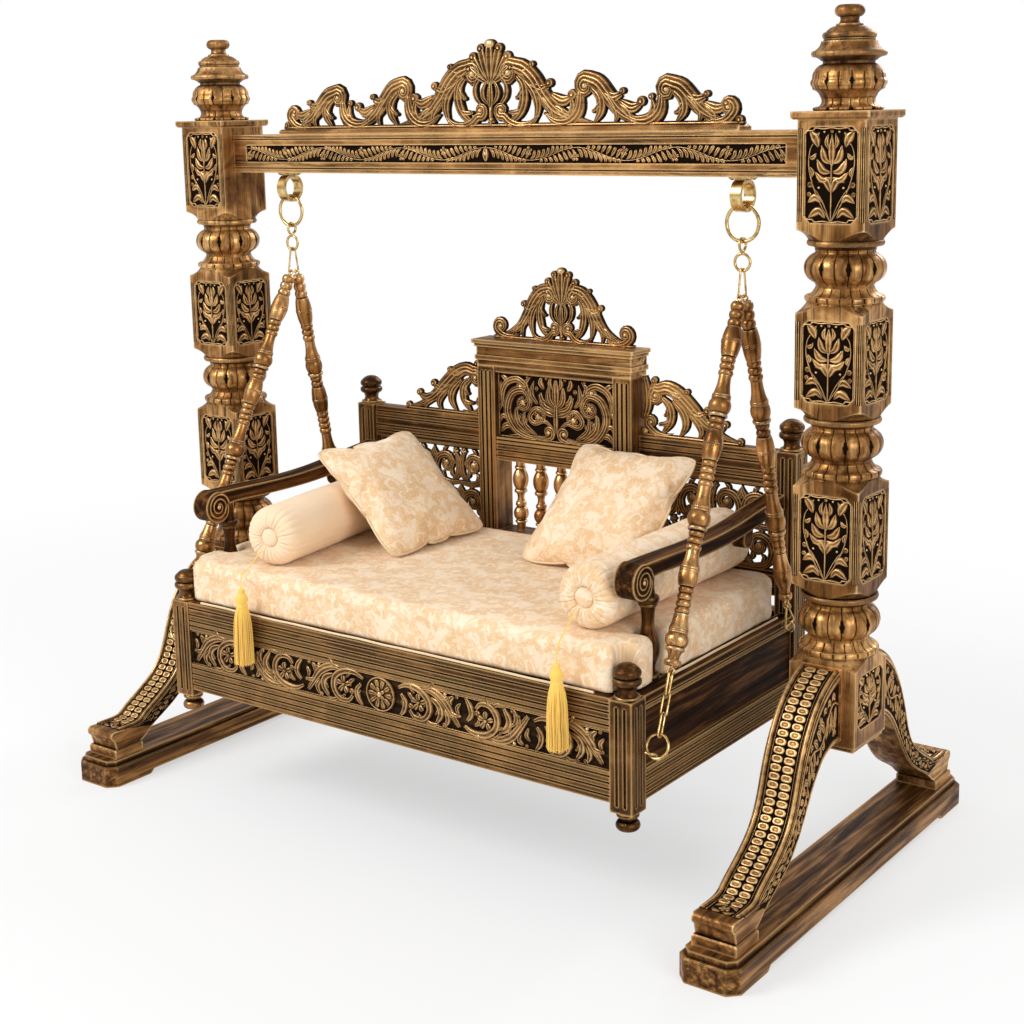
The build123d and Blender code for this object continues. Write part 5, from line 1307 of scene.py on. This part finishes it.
def tube(name, path, radius, material, body, closed=False, sides=8):
    """A round welt or rope along a path in metres."""
    path = np.asarray(path, float)
    if closed:
        step = np.roll(path, -1, axis=0) - np.roll(path, 1, axis=0)
    else:
        step = np.gradient(path, axis=0)
    step /= np.linalg.norm(step, axis=1)[:, None]
    steady = np.array([0.0, 0.0, 1.0]) if abs(step[:, 2]).max() < 0.95 else np.array([0.0, 1.0, 0.0])
    side = np.cross(step, steady)
    side /= np.linalg.norm(side, axis=1)[:, None]
    over = np.cross(side, step)
    angle = np.linspace(0, 2 * pi, sides, endpoint=False)
    rings = (path[:, None, :] + radius * (side[:, None, :] * np.cos(angle)[None, :, None]
                                          + over[:, None, :] * np.sin(angle)[None, :, None]))
    if closed:
        rings = np.concatenate([rings, rings[:1]])
    far = np.concatenate([[0], np.cumsum(np.linalg.norm(np.diff(rings[:, 0], axis=0), axis=1))])
    where = np.zeros(rings.shape)
    where[:, :, 0] = far[:, None]
    where[:, :, 1] = angle[None, :] * radius
    return mesh_piece(name, rings.reshape(-1, 3), grid_faces(len(rings), sides, wrap=True),
                      where.reshape(-1, 3), material, body)


def mattress():
    mesh = nodes["mattress"].data.copy()
    pad = bpy.data.objects.new("mattress_cover", mesh)
    scene.collection.objects.link(pad)
    voxels = pad.modifiers.new("voxels", "REMESH")
    voxels.mode = "VOXEL"
    voxels.voxel_size = 0.0095
    seen = pad.evaluated_get(bpy.context.evaluated_depsgraph_get())
    pad.data = bpy.data.meshes.new_from_object(seen)
    pad.modifiers.clear()
    flat = places(pad)
    low, high = flat.min(axis=0), flat.max(axis=0)
    drop = high[2] - flat[:, 2]
    wall_x = np.clip((np.abs(flat[:, 0]) - (high[0] - 0.035)) / 0.03, 0, 1)
    wall_y = np.clip((low[1] + 0.035 - flat[:, 1]) / 0.03, 0, 1)
    where = np.zeros_like(flat)
    where[:, 0] = flat[:, 0] + np.sign(flat[:, 0]) * drop * wall_x
    where[:, 1] = flat[:, 1] - drop * wall_y
    inflate(pad, 3.0, 14, 0.007)
    points = places(pad)
    top = np.clip((points[:, 2] - 0.655) / 0.02, 0, 1)
    fold = ripple(points * (0.5, 1.6, 1.0), 0.06, 0.0016, 1) + ripple(points, 0.17, 0.0025, 2)
    fold += ripple(points * (1.2, 1.2, 0.6), 0.035, 0.0012, 3) * (1 - top)
    points[:, 2] += (fold - 0.002) * top
    out = np.column_stack([np.sign(points[:, 0]) * wall_x, -wall_y])
    points[:, :2] += out * (fold * 1.6 - 0.001)[:, None]
    points[:, 2] = np.clip(points[:, 2], 0.5626, 0.6806)
    put_places(pad, points)
    cloth = pad.data.attributes.new("cloth", "FLOAT_VECTOR", "POINT")
    cloth.data.foreach_set("vector", where.astype(np.float32).reshape(-1))
    pad.data.polygons.foreach_set("use_smooth", [True] * len(pad.data.polygons))
    pad.data.materials.clear()
    pad.data.materials.append(damask)
    subdivide(pad)
    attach(pad, "seat")
    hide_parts("mattress")
    welts = {
        "mattress_welt_front": [(x, -0.5125, 0.5662) for x in np.linspace(-0.642, 0.642, 90)],
        "mattress_welt_right": [(0.7255, y, 0.5662) for y in np.linspace(-0.30, 0.215, 40)],
        "mattress_welt_left": [(-0.7255, y, 0.5662) for y in np.linspace(-0.30, 0.215, 40)],
    }
    for name, path in welts.items():
        path = np.array(path)
        path[:, 2] += ripple(path, 0.08, 0.0012, 5)
        tube(name, path, 0.0032, welt_cloth, "seat")


def cushion(name, centre, yaw, lean, seed, welt):
    """A square scatter cushion, puffed by cloth between its welted edges."""
    n = 46
    half = 0.192
    edge = np.linspace(-1, 1, n)
    across, up = np.meshgrid(edge, edge, indexing="ij")
    crown = 0.040 * (np.clip(1 - across ** 2, 0, 1) * np.clip(1 - up ** 2, 0, 1)) ** 0.5
    round_off = 1 - 0.055 * (across * up) ** 6
    wide = across * half * (1 + 0.028 * (1 - up ** 2)) * round_off
    tall = up * half * (1 + 0.028 * (1 - across ** 2)) * round_off
    front = np.stack([wide, crown, tall], axis=2).reshape(-1, 3)
    inner = [(i, j) for i in range(1, n - 1) for j in range(1, n - 1)]
    rear_index = np.arange(n * n).reshape(n, n).copy()
    rear = []
    for k, (i, j) in enumerate(inner):
        rear_index[i, j] = n * n + k
        rear.append((wide[i, j], -crown[i, j], tall[i, j]))
    points = np.concatenate([front, np.array(rear)])
    index = np.arange(n * n).reshape(n, n)
    faces = np.stack([index[:-1, :-1], index[:-1, 1:], index[1:, 1:], index[1:, :-1]],
                     -1).reshape(-1, 4).tolist()
    faces += np.stack([rear_index[:-1, :-1], rear_index[1:, :-1], rear_index[1:, 1:],
                       rear_index[:-1, 1:]], -1).reshape(-1, 4).tolist()
    where = points[:, (0, 2, 1)] + (seed * 0.37, seed * 0.21, 0)
    piece = mesh_piece(name + "_cover", points, faces, where, damask, None)
    inflate(piece, 7.0, 26, 0.045, bending=0.25)
    puffed = places(piece)
    puffed += np.column_stack([np.zeros(len(puffed)), ripple(puffed, 0.055, 0.0022, seed),
                               np.zeros(len(puffed))])
    reach = np.abs(puffed).max(axis=0)
    puffed *= (0.1945 / reach[0], 0.060 / reach[1], 0.1945 / reach[2])
    turn = (Matrix.Translation(Vector(centre) * MM) @ Matrix.Rotation(radians(yaw), 4, "Z")
            @ Matrix.Rotation(radians(-lean), 4, "X"))
    spin = np.array(turn.to_3x3())
    put_places(piece, puffed @ spin.T + np.array(turn.translation))
    subdivide(piece)
    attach(piece, "seat")
    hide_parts(name)
    rim = ([index[i, 0] for i in range(n)] + [index[n - 1, j] for j in range(1, n)]
           + [index[i, n - 1] for i in range(n - 2, -1, -1)]
           + [index[0, j] for j in range(n - 2, 0, -1)])
    tube(name + "_welt", places(piece)[rim], 0.0032, welt, "seat", closed=True)


def bolster(name, start, yaw, material, seed):
    """A round bolster whose ends are gathered in pleats under a covered button."""
    end = [(0, 1.0), (8, 1.2), (15, 2.0), (20, 4.0), (23.5, 8.0), (25, 13.0), (26.5, 10.0),
           (30, 5.0), (36, 3.0), (43, 2.6), (51, 3.4), (58, 5.2), (65, 8.5), (71, 13.0),
           (76, 19.0), (79.5, 27.0), (81.4, 37.0), (82, 50.0)]
    body = [(82, a) for a in np.linspace(70, 620, 45)]
    length = 690.0
    profile = np.array(end + body + [(r, length - a) for r, a in end[::-1]])
    count = 224
    angle = np.linspace(0, 2 * pi, count, endpoint=False)
    random = np.random.default_rng(seed)
    shift = sum(random.uniform(0.1, 0.35) * np.sin(k * angle + random.uniform(0, 6))
                for k in (1, 2, 3, 5))
    pleat = (0.5 + 0.5 * np.cos(27 * angle + 2.2 * shift)) ** 5
    uneven = 0.65 + 0.35 * np.sin(7 * angle + 9 * shift)
    r, a = profile[:, 0], profile[:, 1]
    near = np.minimum(a, length - a)
    pleated = np.clip((r - 25.5) / 3, 0, 1) * np.clip((64 - near) / 46, 0, 1)
    depth = 4.2 * pleated[:, None] * (pleat * uneven)[None, :]
    facing = np.clip((r[:, None] - 60) / 22, 0, 1)
    radius = r[:, None] - depth * facing
    along = a[:, None] + np.where(a < length / 2, 1, -1)[:, None] * depth * (1 - facing)
    spot = np.stack([np.broadcast_to(a[:, None] / 900, radius.shape),
                     np.broadcast_to(np.cos(angle) * 0.09, radius.shape),
                     np.broadcast_to(np.sin(angle) * 0.09, radius.shape)], axis=2)
    sway = ripple(spot.reshape(-1, 3), 0.09, 1.6, seed).reshape(radius.shape)
    sway += ripple(spot.reshape(-1, 3) * (1.0, 3.0, 3.0), 0.045, 0.7, seed + 1).reshape(radius.shape)
    radius = radius + (sway - 1.0) * np.clip(r[:, None] / 82, 0, 1) ** 3
    turn = (Matrix.Translation((start[0] * MM, start[1] * MM, 0.7623))
            @ Matrix.Rotation(radians(yaw), 4, "Z") @ Matrix.Rotation(radians(-90), 4, "X"))
    local = np.stack([radius * np.cos(angle), radius * np.sin(angle), along], axis=2) * MM
    spin = np.array(turn.to_3x3())
    points = local.reshape(-1, 3) @ spin.T + np.array(turn.translation)
    where = np.zeros(local.shape)
    flat_end = np.clip(r / 82, 0, 1)[:, None]
    where[:, :, 0] = np.where(flat_end < 0.97, radius * np.cos(angle), angle * 82) * MM
    where[:, :, 1] = np.where(flat_end < 0.97, radius * np.sin(angle), along) * MM
    piece = mesh_piece(name + "_cover", points, grid_faces(len(profile), count, wrap=True),
                       where.reshape(-1, 3), material, "seat")
    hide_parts(name)


def tassel(name, x, top, seed):
    """Bound head over a skirt of hanging threads."""
    random = np.random.default_rng(seed)
    y = -545.3
    head = [(0, 0), (3.5, -1), (8, -5), (10, -9), (8.5, -13), (10, -16), (14, -22), (16.4, -29),
            (16, -36), (13.5, -42), (13, -44), (15, -46), (15, -52), (13.5, -53.5), (14, -56),
            (12, -64), (8, -120), (0, -125)]
    angle = np.linspace(0, 2 * pi, 40, endpoint=False)
    rings = np.array([[(r * cos(b), r * sin(b), z) for b in angle] for r, z in head])
    flute = 1 + 0.035 * np.cos(20 * angle)[None, :, None]
    rings[:, :, :2] *= flute
    points = [rings.reshape(-1, 3)]
    faces = grid_faces(len(head), len(angle), wrap=True)
    count = len(head) * len(angle)
    sides = np.linspace(0, 2 * pi, 5, endpoint=False)
    for k in range(230):
        b = random.uniform(0, 2 * pi)
        layer = random.uniform(0.55, 1.0)
        foot = 28.0 * layer * random.uniform(0.9, 1.0)
        low = -210 + random.uniform(0, 7)
        t = np.linspace(0, 1, 8)
        r = 12.5 + (foot - 12.5) * (0.78 * (1 - (1 - t) ** 6) + 0.22 * t)
        z = -50 + (low + 50) * t
        b = b + random.uniform(-0.08, 0.08) * t + 0.03 * np.sin(t * 7 + random.uniform(0, 6))
        line = np.column_stack([r * np.cos(b), r * np.sin(b), z])
        thick = 1.15 - 0.35 * t
        ring = line[:, None, :] + thick[:, None, None] * np.stack(
            [np.cos(sides), np.sin(sides), 0 * sides], axis=1)[None, :, :]
        points.append(ring.reshape(-1, 3))
        faces += grid_faces(8, 5, start=count, wrap=True)
        count += 40
    points = (np.concatenate(points) + (x, y, top)) * MM
    return mesh_piece(name, points, faces, points[:, (0, 2, 1)], silk, "seat")


def cord(name, route):
    """A bolster's tie, a smooth line over the mattress edge down to its tassel."""
    curve = bpy.data.curves.new(name, "CURVE")
    curve.dimensions = "3D"
    curve.bevel_depth = 0.0016
    curve.bevel_resolution = 3
    line = curve.splines.new("NURBS")
    line.points.add(len(route) - 1)
    for point, spot in zip(line.points, route):
        point.co = (*[s * MM for s in spot], 1)
    line.order_u = 3
    line.use_endpoint_u = True
    curve.materials.append(silk)
    made = bpy.data.objects.new(name, curve)
    scene.collection.objects.link(made)
    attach(made, "seat")
    return made


def tassels():
    left = tassel("tassel_left", -450, 648, 4)
    tassel("tassel_right", 562, 632, 9)
    left_route = [(-458, -452.6, 724), (-458, -466.6, 723), (-455.6, -484.6, 708),
                  (-453.2, -510.6, 692), (-450, -539.3, 686), (-450, -545.3, 666),
                  (-450, -545.3, 648)]
    right_route = [(556, -455, 724), (556, -469, 723), (557.8, -487, 708),
                   (559.6, -513, 692), (562, -539.3, 670), (562, -545.3, 650),
                   (562, -545.3, 632)]
    left_cord = cord("tassel_cord_left", left_route)
    cord("tassel_cord_right", right_route)
    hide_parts("tassels")
    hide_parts("tassel_cords")


mattress()
cushion("cushion_right", (288.0, 95.6, 822.9), -3.0, 46.0, 2, welt_cloth)
cushion("cushion_left", (-345.0, -8.0, 816.9), 87.0, 48.5, 5, welt_cloth)
bolster("bolster_right", (572, -455), 0.0, damask, 11)
bolster("bolster_left", (-440, -450), 8.3, cotton, 23)
tassels()
